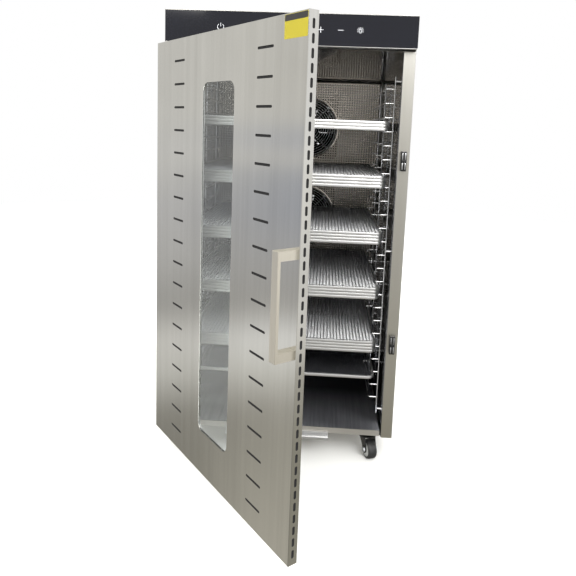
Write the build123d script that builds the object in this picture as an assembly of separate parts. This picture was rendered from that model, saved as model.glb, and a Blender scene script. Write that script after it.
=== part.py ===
from build123d import *
from math import cos, radians, sin
import os

# Cabinet food dehydrator on swivel casters: sheet steel cabinet with a side-hinged pan door,
# wire racks carrying stacks of mesh trays, three axial fans with ring heaters behind an inner
# wall, and a touch control head over the door.
# Millimetres. X to the right, Y to the rear, Z up, origin on the floor under the cabinet's centre.

os.makedirs("parts", exist_ok=True)

# ---- cabinet ----
body_width = 600.0
body_depth = 620.0
body_height = 1061.5
sheet = 1.2
wall_width = 28.0
liner_sheet = 1.0
return_flange = 15.0
duct_depth = 100.0
jamb_return = 18.0
ceiling_drop = 33.0
threshold_height = 15.0
threshold_drop = 4.7
floor_side_gap = 4.0
base_setback = 10.0

# ---- control head ----
fascia_height = 75.6
fascia_proud = 24.0
fascia_side_gap = 0.5
fascia_glass = 4.0
control_box_depth = 84.0
board_length = 240.0
board_height = 46.0
board_sheet = 1.6
display_length = 92.0
display_height = 28.0
display_depth = 5.0
standoff_radius = 3.0
standoff_inset = (8.0, 6.0)
relay_size = (18.0, 15.0, 15.0)
relay_pitch = 24.0
relay_start = 20.0
terminal_size = (50.0, 12.0, 12.0)
terminal_start = -100.0

# ---- door ----
door_gap_bottom = 8.3
door_gap_top = 4.4
door_gap_back = 4.0
door_lip = 6.0
door_angle = 51.0
fold_radius = 1.0
vent_length = 52.0
vent_height = 5.0
vent_pitch = 51.5
vent_end = 40.0
vent_side = 124.0
edge_slot_length = 16.5
edge_slot_width = 5.5
edge_slot_pitch = 23.25
edge_slot_end = 19.0
window_width = 130.5
window_shift = 5.0
window_end = 101.6
window_corner = 20.0
window_land = 10.0
window_pane = 4.0
window_frame_depth = 2.0
label_width = 65.0
label_height = 40.0
label_sheet = 0.3
label_inset = 0.8

# ---- handle ----
handle_length = 194.0
handle_width = 18.0
handle_reach = 40.0
handle_bar = 6.0
handle_arm = 17.0
handle_edge = 6.0
handle_round = 1.0
handle_screw = 2.4
handle_screw_depth = 12.0

# ---- hinges ----
hinge_out = 7.0
hinge_back = 5.0
hinge_height = 70.0
hinge_end = 90.0
hinge_leaf = 2.0
hinge_leaf_depth = 30.0
hinge_barrel = 4.6
hinge_pin = 2.2
knuckles = 5
knuckle_gap = 0.3

# ---- magnetic catches ----
catch_width = 14.0
catch_height = 48.0
catch_depth = 14.0
catch_inset = 8.0
catch_up = (248.0, 714.0)
striker_sheet = 1.5
striker_foot = 10.0

# ---- racks and trays ----
level_pitch = 35.65
top_level_clear = 52.6
low_level_clear = 55.0
rack_post = 2.0
rack_wire = 1.75
rack_tie = 1.6
rack_gap = 6.0
rack_reach = 23.3
rack_front = 70.0
rack_middle = 315.0
rack_rear_gap = 50.0
rack_post_over = 31.0
rack_post_under = 45.0
clip_radius = 3.0
tray_overlap = 8.3
tray_front = 15.0
tray_rear_gap = 45.0
tray_rim = 7.6
tray_flange = 6.0
tray_sheet = 1.0
mesh_sheet = 0.5
mesh_up = 3.6
tray_corner = 20.0
tray_gap = 0.2
tray_lift = 0.3
stacks = 5
free_levels = 4

# ---- drip tray ----
drip_width = 268.0
drip_length = 420.0
drip_depth = 8.0
drip_lip = 1.0
drip_pull_reach = 12.0
drip_pull_hem = 6.0
rail_foot = 9.0
rail_gap = 0.6

# ---- fans and heaters ----
fan_count = 3
fan_offset = 32.0
fan_top_clear = 156.0
fan_low_clear = 188.0
fan_size = 200.0
fan_depth = 50.0
fan_rim = 5.0
fan_corner = 12.0
fan_blade_gap = 4.0
fan_hub = 36.0
fan_motor = 26.0
fan_motor_gap = 2.0
fan_blades = 7
blade_chord = 34.0
blade_sheet = 2.0
blade_turn = 35.0
blade_root = 2.0
strut_width = 10.0
strut_depth = 6.0
motor_setback = 20.0
hub_setback = 4.0
hub_face = 6.0
hub_round = 4.0
shaft_end = 10.0
fan_shaft = 4.0
guard_wire = 2.0
guard_pitch = 7.5
guard_inner = 28.0
guard_standoff = 3.0
guard_foot = 4.0
heater_ring = 72.0
heater_tube = 4.0
heater_back_gap = 28.0
heater_strap = 10.0
heater_strap_sheet = 2.0
intake_length = 130.0
intake_height = 6.0
intake_pitch = 14.0
intake_rows = 9

# ---- small fittings ----
lamp_radius = 20.0
lamp_depth = 5.0
lamp_in = 190.0
lamp_round = 1.5
probe_radius = 3.0
probe_length = 46.0
probe_flange = 8.0
probe_flange_sheet = 2.0
probe_over_pile = 63.55
probe_share = 0.6
gland_bore = 4.2
gland_thread = 8.0
gland_flange = 12.0
gland_out = 18.0
gland_in = 12.0
gland_side = 100.0
gland_up = 85.0
screw_radius = 1.9
screw_head = 4.0
screw_head_height = 2.0
screws_per_side = 4

# ---- casters ----
caster_side = 59.5
caster_end = 49.0
caster_plate = 52.0
caster_plate_sheet = 3.0
caster_trail = 20.0
wheel_radius = 25.0
wheel_width = 24.0
wheel_bore_gap = 0.06
wheel_shoulder = 4.0
axle_radius = 4.0
axle_head = 7.0
fork_sheet = 2.5
fork_crown = 25.0
fork_crown_sheet = 3.5
fork_side_gap = 1.2
fork_end = 9.0
kingpin = 5.0
kingpin_head = 8.0
race_radius = 17.0
race_height = 11.2
fork_crown_gap = 7.0
wheel_recess = 2.0
wheel_rim = 7.0
wheel_boss = 4.0
axle_head_height = 3.5
caster_turn = {"front_left": -25.0, "front_right": 20.0, "rear_left": 200.0, "rear_right": 155.0}

# ---- clearances ----
running = 0.05
clearance = 0.3
hole_gap = 0.2

# ---- places worked out from the sizes ----
half = body_width / 2
front = -body_depth / 2
rear = body_depth / 2
crown_z0 = 2 * wheel_radius + fork_crown_gap
crown_z1 = crown_z0 + fork_crown_sheet
base_z = crown_z1 + clearance + race_height + caster_plate_sheet
top_z = base_z + body_height
door_z0 = base_z + door_gap_bottom
door_z1 = top_z - fascia_height - door_gap_top
door_height = door_z1 - door_z0
fascia_z0 = door_z1 + door_gap_top
liner_x = half - wall_width
cavity_half = liner_x - liner_sheet
floor_z = base_z + door_gap_bottom + threshold_height - threshold_drop
air_wall_y = rear - duct_depth
ceiling_front_z = fascia_z0 - 1.5 * sheet
ceiling_back_z = ceiling_front_z - ceiling_drop
door_front = front - fascia_proud
door_back = front - door_gap_back
pivot_x = -half - hinge_out
pivot_y = front - hinge_back
post_x = cavity_half - rack_gap - rack_post
run_x = post_x - rack_reach
tray_half = run_x + tray_overlap
tray_y0 = front + tray_front
tray_y1 = air_wall_y - tray_rear_gap
rack_y = (front + rack_front, front + rack_middle, air_wall_y - rack_rear_gap)
level_top_z = ceiling_back_z - top_level_clear
levels = int((level_top_z - floor_z - low_level_clear) / level_pitch) + 1
level_z = [level_top_z - i * level_pitch for i in range(levels)]
stack_step = (levels - free_levels) // stacks
full_stack = int((level_pitch - 2 * rack_wire - tray_lift - clearance + tray_gap) / (tray_rim + tray_gap))
stack_trays = [full_stack - 1] + [full_stack] * (stacks - 1)
fan_bore = fan_size / 2 - fan_rim
fan_top_z = ceiling_back_z - fan_top_clear
fan_low_z = floor_z + fan_low_clear
fan_z = [fan_top_z + (fan_low_z - fan_top_z) * i / (fan_count - 1) for i in range(fan_count)]
hinge_z = (door_z0 + hinge_end, door_z1 - hinge_end - hinge_height)
catch_z = [door_z0 + up for up in catch_up]
catch_x = half - catch_inset - catch_width / 2
handle_x = half - handle_edge - handle_width / 2
handle_z = (door_z0 + door_z1) / 2
drip_z1 = base_z - clearance - rail_gap
drip_z0 = drip_z1 - drip_depth
probe_x = -cavity_half * probe_share
probe_z = level_z[stack_step - 1] + probe_over_pile
gland_x = cavity_half - gland_side
gland_z = base_z + gland_up


def block(x0, x1, y0, y1, z0, z1):
    """A box between two corners."""
    return Pos((x0 + x1) / 2, (y0 + y1) / 2, (z0 + z1) / 2) * Box(x1 - x0, y1 - y0, z1 - z0)


def rod_x(radius, x0, x1, y, z):
    """A round bar along X."""
    return Pos((x0 + x1) / 2, y, z) * Rot(0, 90, 0) * Cylinder(radius, x1 - x0)


def rod_y(radius, y0, y1, x, z):
    """A round bar along Y."""
    return Pos(x, (y0 + y1) / 2, z) * Rot(90, 0, 0) * Cylinder(radius, y1 - y0)


def rod_z(radius, z0, z1, x, y):
    """A round bar along Z."""
    return Pos(x, y, (z0 + z1) / 2) * Cylinder(radius, z1 - z0)


def slot_y(length, height, y0, y1, x, z, upright=False):
    """A round-ended slot cutter that runs through along Y."""
    turn = 90 if upright else 0
    face = Plane(origin=(x, y1, z), x_dir=(1, 0, 0), z_dir=(0, -1, 0)) * Rot(0, 0, turn)
    return extrude(face * SlotOverall(length, height), amount=y1 - y0)


def panel_y(width, height, corner, y0, y1, x, z):
    """A rounded rectangular plate square to Y."""
    face = Plane(origin=(x, y1, z), x_dir=(1, 0, 0), z_dir=(0, -1, 0))
    return extrude(face * RectangleRounded(width, height, corner), amount=y1 - y0)


def group(solids):
    """Several separate solids that make one node."""
    return Compound([solid for shape in solids for solid in shape.solids()])


def spread(low, high, count):
    """Evenly spaced places from low to high."""
    return [low + (high - low) * i / (count - 1) for i in range(count)]


# ---------------------------------------------------------------- cabinet shell
def rear_screw_places():
    """Where the rear cover is screwed to the side panels' return flanges."""
    inset = half - sheet - return_flange / 2
    heights = spread(base_z + 40.0, top_z - 40.0, screws_per_side)
    return [(side * inset, z) for side in (-1, 1) for z in heights]


def side_panel(side):
    """Outer skin of one side, folded inwards at the rear edge."""
    skin = block(half - sheet, half, front, rear - sheet, base_z, top_z - sheet)
    fold = block(half - sheet - return_flange, half, rear - 2 * sheet, rear - sheet, base_z, top_z - sheet)
    panel = skin + fold
    for x, z in rear_screw_places():
        if x > 0:
            panel -= rod_y(screw_radius + hole_gap, rear - 3 * sheet, rear, x, z)
    return panel if side > 0 else mirror(panel, Plane.YZ)


def top_panel():
    """Flat lid over the cabinet and the control head."""
    lid = block(-half, half, door_front, rear, top_z - sheet, top_z)
    return fillet(lid.edges().filter_by(Axis.Z), 2.0)


def rear_cover():
    """Screwed-on back with air intake slots in front of each fan and the cord gland's hole."""
    cover = block(-half, half, rear - sheet, rear, base_z, top_z - sheet)
    cuts = []
    for z in fan_z:
        for row in range(intake_rows):
            slot_z = z + (row - (intake_rows - 1) / 2) * intake_pitch
            cuts.append(slot_y(intake_length, intake_height, rear - 2 * sheet, rear + sheet,
                               fan_offset, slot_z))
    for x, z in rear_screw_places():
        cuts.append(rod_y(screw_radius + hole_gap, rear - 2 * sheet, rear + sheet, x, z))
    cuts.append(rod_y(gland_thread + hole_gap, rear - 2 * sheet, rear + sheet, gland_x, gland_z))
    return cover - cuts


def base_panel():
    """Underside of the cabinet with the two rails that carry the drip tray."""
    inner = half - sheet
    plate = block(-inner, inner, front + jamb_return, rear - 2 * sheet, base_z, base_z + sheet)
    plate += block(-liner_x, liner_x, front + base_setback, front + jamb_return, base_z, base_z + sheet)
    edge = cavity_half - floor_side_gap - liner_sheet
    upstand = block(-edge, edge, front + base_setback, front + base_setback + sheet, base_z,
                    floor_z - liner_sheet)
    rail_in = drip_width / 2 + rail_gap
    rail_y0 = front + base_setback
    foot_z = drip_z0 - clearance - sheet
    web = block(rail_in, rail_in + sheet, rail_y0, rail_y0 + drip_length, foot_z, base_z)
    foot = block(rail_in - rail_foot, rail_in + sheet, rail_y0, rail_y0 + drip_length, foot_z, foot_z + sheet)
    rail = web + foot
    return plate + upstand + rail + mirror(rail, Plane.YZ)


def jamb(side):
    """Front closing strip of one side wall, which the door lands on."""
    face = block(liner_x, half - sheet, front, front + sheet, base_z, door_z1 + 1.0)
    inner = block(liner_x, liner_x + sheet, front, front + jamb_return, base_z, door_z1 + 1.0)
    strip = face + inner
    return strip if side > 0 else mirror(strip, Plane.YZ)


def side_liner(side):
    """Polished inner side wall of the drying chamber."""
    wall = block(cavity_half, liner_x, front + 2.0, rear - 3 * sheet, base_z + sheet, ceiling_front_z)
    return wall if side > 0 else mirror(wall, Plane.YZ)


def ceiling_liner():
    """Polished ceiling of the chamber, falling towards the rear."""
    y0, y1 = front + 2.0, air_wall_y
    outline = Polyline((y0, ceiling_front_z), (y1, ceiling_back_z), (y1, ceiling_back_z - liner_sheet),
                       (y0, ceiling_front_z - liner_sheet), close=True)
    face = Plane(origin=(-cavity_half, 0, 0), x_dir=(0, 1, 0), z_dir=(1, 0, 0)) * make_face(outline)
    return extrude(face, amount=2 * cavity_half)


def floor_pan():
    """Chamber floor with a folded threshold at the front and side folds standing on the base."""
    edge = cavity_half - floor_side_gap
    deck = block(-edge, edge, front, air_wall_y, floor_z - liner_sheet, floor_z)
    lip = block(-edge, edge, front, front + sheet, floor_z - threshold_height, floor_z)
    fold = block(edge - liner_sheet, edge, front + base_setback, air_wall_y, base_z + sheet, floor_z)
    return deck + lip + fold + mirror(fold, Plane.YZ)


def air_wall():
    """Inner rear wall between the chamber and the fan space, with an opening for each fan."""
    wall = block(-cavity_half, cavity_half, air_wall_y, air_wall_y + liner_sheet,
                 base_z + sheet, ceiling_back_z)
    holes = [rod_y(fan_bore, air_wall_y - 1, air_wall_y + 2, fan_offset, z) for z in fan_z]
    probe = rod_y(probe_radius + hole_gap, air_wall_y - 1, air_wall_y + 2, probe_x, probe_z)
    return wall - holes - probe


def cabinet_screws():
    """Pan-head screws that hold the rear cover."""
    screws = []
    for x, z in rear_screw_places():
        shank = rod_y(screw_radius, rear - 8.0, rear, x, z)
        head = rod_y(screw_head, rear, rear + screw_head_height, x, z)
        screws.append(shank + fillet(head.edges().group_by(Axis.Y)[-1], 0.8))
    return group(screws)


# ---------------------------------------------------------------- control head
def control_fascia():
    """Dark glass of the touch panel."""
    glass = block(-half + fascia_side_gap, half - fascia_side_gap, door_front, door_front + fascia_glass,
                  fascia_z0 + sheet, top_z - sheet)
    return fillet(glass.edges().filter_by(Axis.Z).group_by(Axis.Y)[0], 1.0)


def control_box():
    """Folded steel tray behind the fascia glass, which its front lip carries."""
    out = half - fascia_side_gap
    inner = half - sheet - 0.5
    glass_back = door_front + fascia_glass
    back = door_front + control_box_depth
    floor_plate = block(-out, out, door_front, front - 0.5, fascia_z0, fascia_z0 + sheet)
    floor_rear = block(-inner, inner, front - 0.5, back, fascia_z0, fascia_z0 + sheet)
    cheek = block(out - sheet, out, glass_back, front - 0.5, fascia_z0, top_z - sheet)
    rear_plate = block(-inner, inner, back - sheet, back, fascia_z0, top_z - sheet)
    return floor_plate + floor_rear + cheek + mirror(cheek, Plane.YZ) + rear_plate


def display_module():
    """Number display pressed against the back of the glass."""
    z = (fascia_z0 + top_z) / 2
    y0 = door_front + fascia_glass
    return block(-display_length / 2, display_length / 2, y0, y0 + display_depth,
                 z - display_height / 2, z + display_height / 2)


def control_board():
    """Circuit board behind the display, on standoffs from the glass, with relays and a terminal."""
    z = (fascia_z0 + top_z) / 2
    y0 = door_front + fascia_glass + display_depth
    board = block(-board_length / 2, board_length / 2, y0, y0 + board_sheet,
                  z - board_height / 2, z + board_height / 2)
    side, up = board_length / 2 - standoff_inset[0], board_height / 2 - standoff_inset[1]
    for x in (-side, side):
        for dz in (-up, up):
            board += rod_y(standoff_radius, y0 - display_depth, y0, x, z + dz)
    y1 = y0 + board_sheet
    width, depth, height = relay_size
    for i in range(fan_count):
        x = relay_start + i * relay_pitch
        board += block(x, x + width, y1, y1 + depth, z - height / 2, z + height / 2)
    width, depth, height = terminal_size
    board += block(terminal_start, terminal_start + width, y1, y1 + depth, z - 1.5 * height, z - height / 2)
    return board


# ---------------------------------------------------------------- fans and heating
def fan_frames():
    """Square fan housings on the rear of the inner wall, each with a motor on four struts."""
    y0 = air_wall_y + liner_sheet
    y1 = y0 + fan_depth
    frames = []
    for z in fan_z:
        body = block(fan_offset - fan_size / 2, fan_offset + fan_size / 2, y0, y1,
                     z - fan_size / 2, z + fan_size / 2)
        body = fillet(body.edges().filter_by(Axis.Y), fan_corner)
        body -= rod_y(fan_bore, y0 - 1, y1 + 1, fan_offset, z)
        reach, wide = fan_bore + fan_rim / 2, strut_width / 2
        strut = block(fan_offset - reach, fan_offset + reach, y1 - strut_depth, y1, z - wide, z + wide)
        upright = block(fan_offset - wide, fan_offset + wide, y1 - strut_depth, y1, z - reach, z + reach)
        motor = rod_y(fan_motor, y0 + motor_setback, y1, fan_offset, z)
        body = body + strut + upright + motor
        body -= rod_y(fan_shaft + running, y0 + motor_setback - 1, y1 - 2 * hub_setback, fan_offset, z)
        frames.append(body)
    return group(frames)


def fan_impeller(z):
    """Moulded wheel: a cup over the motor, its blades and the shaft."""
    y0 = air_wall_y + liner_sheet
    y1 = y0 + fan_depth
    cup_y0 = y0 + hub_setback
    cup_y1 = y1 - 2 * hub_setback
    cup = rod_y(fan_hub, cup_y0, cup_y1, fan_offset, z)
    cup = fillet(cup.edges().group_by(Axis.Y)[0], hub_round)
    cup -= rod_y(fan_motor + fan_motor_gap, cup_y0 + hub_face, cup_y1 + 1, fan_offset, z)
    shaft = rod_y(fan_shaft, cup_y0 + hub_face - 1, y1 - shaft_end, fan_offset, z)
    reach = fan_bore - fan_blade_gap - fan_hub + blade_root
    middle = (cup_y0 + cup_y1) / 2
    wheel = cup + shaft
    for i in range(fan_blades):
        blade = Pos(fan_hub - blade_root + reach / 2, 0, 0) * Rot(blade_turn, 0, 0)
        blade *= Box(reach, blade_sheet, blade_chord)
        wheel += Pos(fan_offset, middle, z) * Rot(0, i * 360.0 / fan_blades, 0) * blade
    return wheel


def fan_guards():
    """Welded ring guards in front of the fans, on four feet each."""
    y1 = air_wall_y - guard_standoff
    outer = fan_size / 2 - 1.0
    rings = int((outer - guard_inner) / guard_pitch)
    guards = []
    for z in fan_z:
        face = Plane(origin=(fan_offset, y1, z), x_dir=(1, 0, 0), z_dir=(0, -1, 0))
        pattern = Circle(guard_inner) - Circle(guard_inner - guard_wire)
        for i in range(rings + 1):
            radius = outer - i * guard_pitch
            pattern += Circle(radius) - Circle(radius - guard_wire)
        for turn in (45, 135, 225, 315):
            low, high = guard_inner - guard_wire, outer - guard_wire / 2
            pattern += Rot(0, 0, turn) * Pos((low + high) / 2, 0) * Rectangle(high - low, guard_wire)
        guard = extrude(face * pattern, amount=guard_wire)
        for turn in (45, 135, 225, 315):
            x = fan_offset + (outer - guard_foot / 2) * cos(radians(turn))
            dz = (outer - guard_foot / 2) * sin(radians(turn))
            guard += rod_y(guard_foot, y1 - guard_wire, air_wall_y, x, z + dz)
        guards.append(guard)
    return group(guards)


def heater_rings():
    """Tubular ring heaters behind the fans, each held by two straps from the inner wall."""
    y = rear - heater_back_gap
    wall_y = air_wall_y + liner_sheet
    leg_in = fan_size / 2 + heater_strap_sheet
    strap = heater_strap_sheet / 2
    x0, x1 = fan_offset - heater_strap / 2, fan_offset + heater_strap / 2
    heaters = []
    for z in fan_z:
        ring = Pos(fan_offset, y, z) * Rot(90, 0, 0) * Torus(heater_ring, heater_tube)
        for side in (-1, 1):
            inner, outer = sorted((z + side * heater_ring, z + side * (leg_in + heater_strap_sheet)))
            ring += block(x0, x1, y - strap, y + strap, inner, outer)
            inner, outer = sorted((z + side * leg_in, z + side * (leg_in + heater_strap_sheet)))
            ring += block(x0, x1, wall_y, y + strap, inner, outer)
        heaters.append(ring)
    return group(heaters)


def temperature_probe():
    """Sensor rod through the inner wall with a small flange."""
    rod = rod_y(probe_radius, air_wall_y - probe_length, air_wall_y + probe_length / 4, probe_x, probe_z)
    return rod + rod_y(probe_flange, air_wall_y - probe_flange_sheet, air_wall_y, probe_x, probe_z)


def interior_lamp():
    """Low round lamp on the left inner wall."""
    lamp = rod_x(lamp_radius, -cavity_half, -cavity_half + lamp_depth, front + lamp_in, level_z[1])
    return fillet(lamp.edges().group_by(Axis.X)[-1], lamp_round)


def power_gland():
    """Cable gland in the rear cover; the cord itself is not part of the model."""
    thread = rod_y(gland_thread, rear - gland_in, rear + 6.0, gland_x, gland_z)
    flange = rod_y(gland_flange, rear, rear + 5.0, gland_x, gland_z)
    dome = rod_y(gland_flange - 1.5, rear + 5.0, rear + gland_out, gland_x, gland_z)
    dome = fillet(dome.edges().group_by(Axis.Y)[-1], 4.0)
    nut = rod_y(gland_flange, rear - sheet - 5.0, rear - sheet, gland_x, gland_z)
    bore = rod_y(gland_bore, rear - gland_in - 1, rear + gland_out + 1, gland_x, gland_z)
    return thread + flange + dome + nut - bore


# ---------------------------------------------------------------- racks, trays, drip tray
def rack(side):
    """Wire side rack: uprights, one bent wire per level and pegs that hold it off the wall."""
    y0, y1, y2 = rack_y
    path = FilletPolyline((post_x - rack_post, y0, 0), (run_x, y0, 0), (run_x, y2, 0),
                          (post_x - rack_post, y2, 0), radius=6.0)
    hoop = sweep(Plane(origin=path @ 0, z_dir=path % 0) * Circle(rack_wire), path=path)
    hoop += rod_x(rack_tie, run_x, post_x - rack_post, y1, 0)
    solids = [Pos(0, 0, z) * hoop for z in level_z]
    low, high = level_z[-1] - rack_post_under, level_z[0] + rack_post_over
    for y in rack_y:
        solids.append(rod_z(rack_post, low, high, post_x, y))
        for z in (low + 12.0, (low + high) / 2, high - 12.0):
            solids.append(rod_x(clip_radius, post_x + rack_post, cavity_half, y, z))
    whole = group(solids)
    return whole if side > 0 else mirror(whole, Plane.YZ)


def mesh_tray(bottom):
    """One tray: folded rim with a flange at its top, and the mesh as a thin plate."""
    width, length = 2 * tray_half, tray_y1 - tray_y0
    centre = (0, (tray_y0 + tray_y1) / 2)

    def ring(inset_out, inset_in, z0, z1):
        outer = RectangleRounded(width - 2 * inset_out, length - 2 * inset_out, tray_corner - inset_out)
        inner = RectangleRounded(width - 2 * inset_in, length - 2 * inset_in, tray_corner - inset_in)
        return Pos(*centre, z0) * extrude(outer - inner, amount=z1 - z0)

    wall = ring(0, tray_sheet, bottom, bottom + tray_rim)
    flange = ring(0, tray_flange, bottom + tray_rim - tray_sheet, bottom + tray_rim)
    mesh = RectangleRounded(width - tray_sheet, length - tray_sheet, tray_corner - tray_sheet / 2)
    plate = Pos(*centre, bottom + mesh_up) * extrude(mesh, amount=mesh_sheet)
    return wall + flange + plate


def tray_stack(level, count):
    """Trays piled on one level of the racks."""
    bottom = level_z[level - 1] + rack_wire + tray_lift
    return group([mesh_tray(bottom + i * (tray_rim + tray_gap)) for i in range(count)])


def drip_tray():
    """Shallow tray under the base with a folded pull in front of the threshold."""
    x = drip_width / 2
    y0, y1 = front + base_setback, front + base_setback + drip_length
    pan = block(-x, x, y0, y1, drip_z0, drip_z1)
    pan -= block(-x + sheet, x - sheet, y0 + sheet, y1 - sheet, drip_z0 + sheet, drip_z1 + 1)
    face_y = front - 1.0 - sheet
    neck = block(-x, x, face_y, y0 + sheet, drip_z0, drip_z0 + sheet)
    face = block(-x, x, face_y, face_y + sheet, drip_z0, door_z0 - drip_lip)
    pull = block(-x, x, face_y - drip_pull_reach, face_y + sheet, drip_z0, drip_z0 + sheet)
    hem = block(-x, x, face_y - drip_pull_reach, face_y - drip_pull_reach + sheet, drip_z0,
                drip_z0 + drip_pull_hem)
    return pan + neck + face + pull + hem


# ---------------------------------------------------------------- door, drawn closed
def swing(shape):
    """Turn a piece of the closed door to the open rest position."""
    return Pos(pivot_x, pivot_y, 0) * Rot(0, 0, -door_angle) * Pos(-pivot_x, -pivot_y, 0) * shape


def pattern_places(low, high, end, pitch):
    """Centres of a row of cuts, centred between low and high."""
    count = int((high - low - 2 * end) / pitch) + 1
    start = (low + high) / 2 - pitch * (count - 1) / 2
    return [start + pitch * i for i in range(count)]


def door_skin():
    """Single sheet folded to a shallow pan, with air slots, edge slots and the window opening."""
    pan = block(-half, half, door_front, door_back, door_z0, door_z1)
    pan = fillet(pan.edges().group_by(Axis.Y)[0], fold_radius)
    inner = half - sheet
    pan -= block(-inner, inner, door_front + sheet, door_back - sheet, door_z0 + sheet, door_z1 - sheet)
    lip = half - door_lip
    pan -= block(-lip, lip, door_back - 2 * sheet, door_back + 1, door_z0 + door_lip, door_z1 - door_lip)
    cuts = []
    for z in pattern_places(door_z0, door_z1, vent_end, vent_pitch):
        for x in (-half + vent_side, half - vent_side):
            cuts.append(slot_y(vent_length, vent_height, door_front - 1, door_front + 2 * sheet, x, z))
    edge_y = (door_front + door_back) / 2
    edge_face = Plane(origin=(half - 2 * sheet, edge_y, 0), x_dir=(0, 0, 1), z_dir=(1, 0, 0))
    for z in pattern_places(door_z0, door_z1, edge_slot_end, edge_slot_pitch):
        slot = edge_face * Pos(z, 0) * SlotOverall(edge_slot_length, edge_slot_width)
        cuts.append(extrude(slot, amount=3 * sheet))
    cuts.append(panel_y(window_width, door_height - 2 * window_end, window_corner,
                        door_front - 1, door_front + 2 * sheet, window_shift, handle_z))
    for z in handle_arm_places():
        cuts.append(rod_y(handle_screw + hole_gap, door_front - 1, door_front + 2 * sheet, handle_x, z))
    return swing(pan - cuts)


def window_glass():
    """Clear pane behind the window opening."""
    y0 = door_front + sheet
    return swing(panel_y(window_width + 2 * window_land, door_height - 2 * window_end + 2 * window_land,
                         window_corner, y0, y0 + window_pane, window_shift, handle_z))


def window_frame():
    """Flat frame that clamps the pane from behind."""
    y0 = door_front + sheet + window_pane
    height = door_height - 2 * window_end
    plate = panel_y(window_width + 2 * window_land, height + 2 * window_land, window_corner,
                    y0, y0 + window_frame_depth, window_shift, handle_z)
    hole = panel_y(window_width, height, window_corner, y0 - 1, y0 + window_frame_depth + 1,
                   window_shift, handle_z)
    return swing(plate - hole)


def handle_arm_places():
    """Heights of the handle's two arms."""
    reach = (handle_length - handle_arm) / 2
    return [handle_z - reach, handle_z + reach]


def door_handle():
    """Flat D-shaped pull: a bar on two square arms."""
    x0, x1 = handle_x - handle_width / 2, handle_x + handle_width / 2
    y0 = door_front - handle_reach
    z0, z1 = handle_z - handle_length / 2, handle_z + handle_length / 2
    pull = block(x0, x1, y0, door_front, z0, z1)
    pull -= block(x0 - 1, x1 + 1, y0 + handle_bar, door_front + 1, z0 + handle_arm, z1 - handle_arm)
    pull = fillet(pull.edges().group_by(Axis.Y)[0], handle_round)
    for z in handle_arm_places():
        pull -= rod_y(handle_screw + 0.1, door_front - handle_screw_depth - 1, door_front + 1, handle_x, z)
    return swing(pull)


def handle_screws():
    """Screws from inside the door into the handle's arms."""
    y = door_front + sheet
    screws = []
    for z in handle_arm_places():
        shank = rod_y(handle_screw, door_front - handle_screw_depth, y, handle_x, z)
        head = rod_y(2 * handle_screw, y, y + 3.0, handle_x, z)
        screws.append(shank + fillet(head.edges().group_by(Axis.Y)[-1], 1.0))
    return swing(group(screws))


def caution_label():
    """Plain printed label at the door's top corner."""
    x1 = half - label_inset - fold_radius
    z1 = door_z1 - label_inset - fold_radius
    return swing(block(x1 - label_width, x1, door_front - label_sheet, door_front, z1 - label_height, z1))


def striker_plates():
    """Steel hat sections inside the door that meet the magnetic catches."""
    face_y = front - catch_depth - clearance
    skin_y = door_front + sheet
    x0, x1 = catch_x - catch_width / 2 + 1, catch_x + catch_width / 2 - 1
    plates = []
    for z in catch_z:
        z0, z1 = z - catch_height / 2 + 1, z + catch_height / 2 - 1
        plate = block(x0, x1, face_y - striker_sheet, face_y, z0, z1)
        for end, out in ((z0, z0 - striker_foot), (z1, z1 + striker_foot)):
            inner = end + (striker_sheet if out < end else -striker_sheet)
            plate += block(x0, x1, skin_y, face_y, min(end, inner), max(end, inner))
            plate += block(x0, x1, skin_y, skin_y + striker_sheet, min(inner, out), max(inner, out))
        plates.append(plate)
    return swing(group(plates))


# ---------------------------------------------------------------- hinges and catches
def knuckle_spans(z0, owner):
    """Height spans of the knuckles that belong to one leaf: 0 the cabinet's, 1 the door's."""
    size = hinge_height / knuckles
    spans = []
    for i in range(owner, knuckles, 2):
        low = z0 + i * size + (knuckle_gap / 2 if i else 0)
        high = z0 + (i + 1) * size - (knuckle_gap / 2 if i < knuckles - 1 else 0)
        spans.append((low, high))
    return spans


def hinge_leaf_set(owner):
    """Both hinges' leaves on the cabinet (0) or on the door (1), with the door closed."""
    leaves = []
    x0, x1 = -half - hinge_leaf, -half
    if owner == 0:
        plate_y = (pivot_y + 1.5, pivot_y + 1.5 + hinge_leaf_depth)
        web_y = (pivot_y - 0.5, pivot_y + 4.0)
    else:
        plate_y = (door_front + 2.0, pivot_y - 3.5)
        web_y = (pivot_y - 6.0, pivot_y - 1.0)
    for z0 in hinge_z:
        leaf = block(x0, x1, *plate_y, z0, z0 + hinge_height)
        for low, high in knuckle_spans(z0, owner):
            leaf += block(pivot_x + 3.0, x0 + 1.0, *web_y, low, high)
            leaf += rod_z(hinge_barrel, low, high, pivot_x, pivot_y)
        leaf -= rod_z(hinge_pin + running, z0 - 1, z0 + hinge_height + 1, pivot_x, pivot_y)
        leaves.append(leaf)
    return group(leaves)


def hinge_pins():
    """Headed pins of the two hinges."""
    pins = []
    for z0 in hinge_z:
        pin = rod_z(hinge_pin, z0, z0 + hinge_height, pivot_x, pivot_y)
        pin += rod_z(hinge_barrel - 1, z0 - 1.5, z0, pivot_x, pivot_y)
        pin += rod_z(hinge_barrel - 1, z0 + hinge_height, z0 + hinge_height + 1.5, pivot_x, pivot_y)
        pins.append(pin)
    return group(pins)


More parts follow.
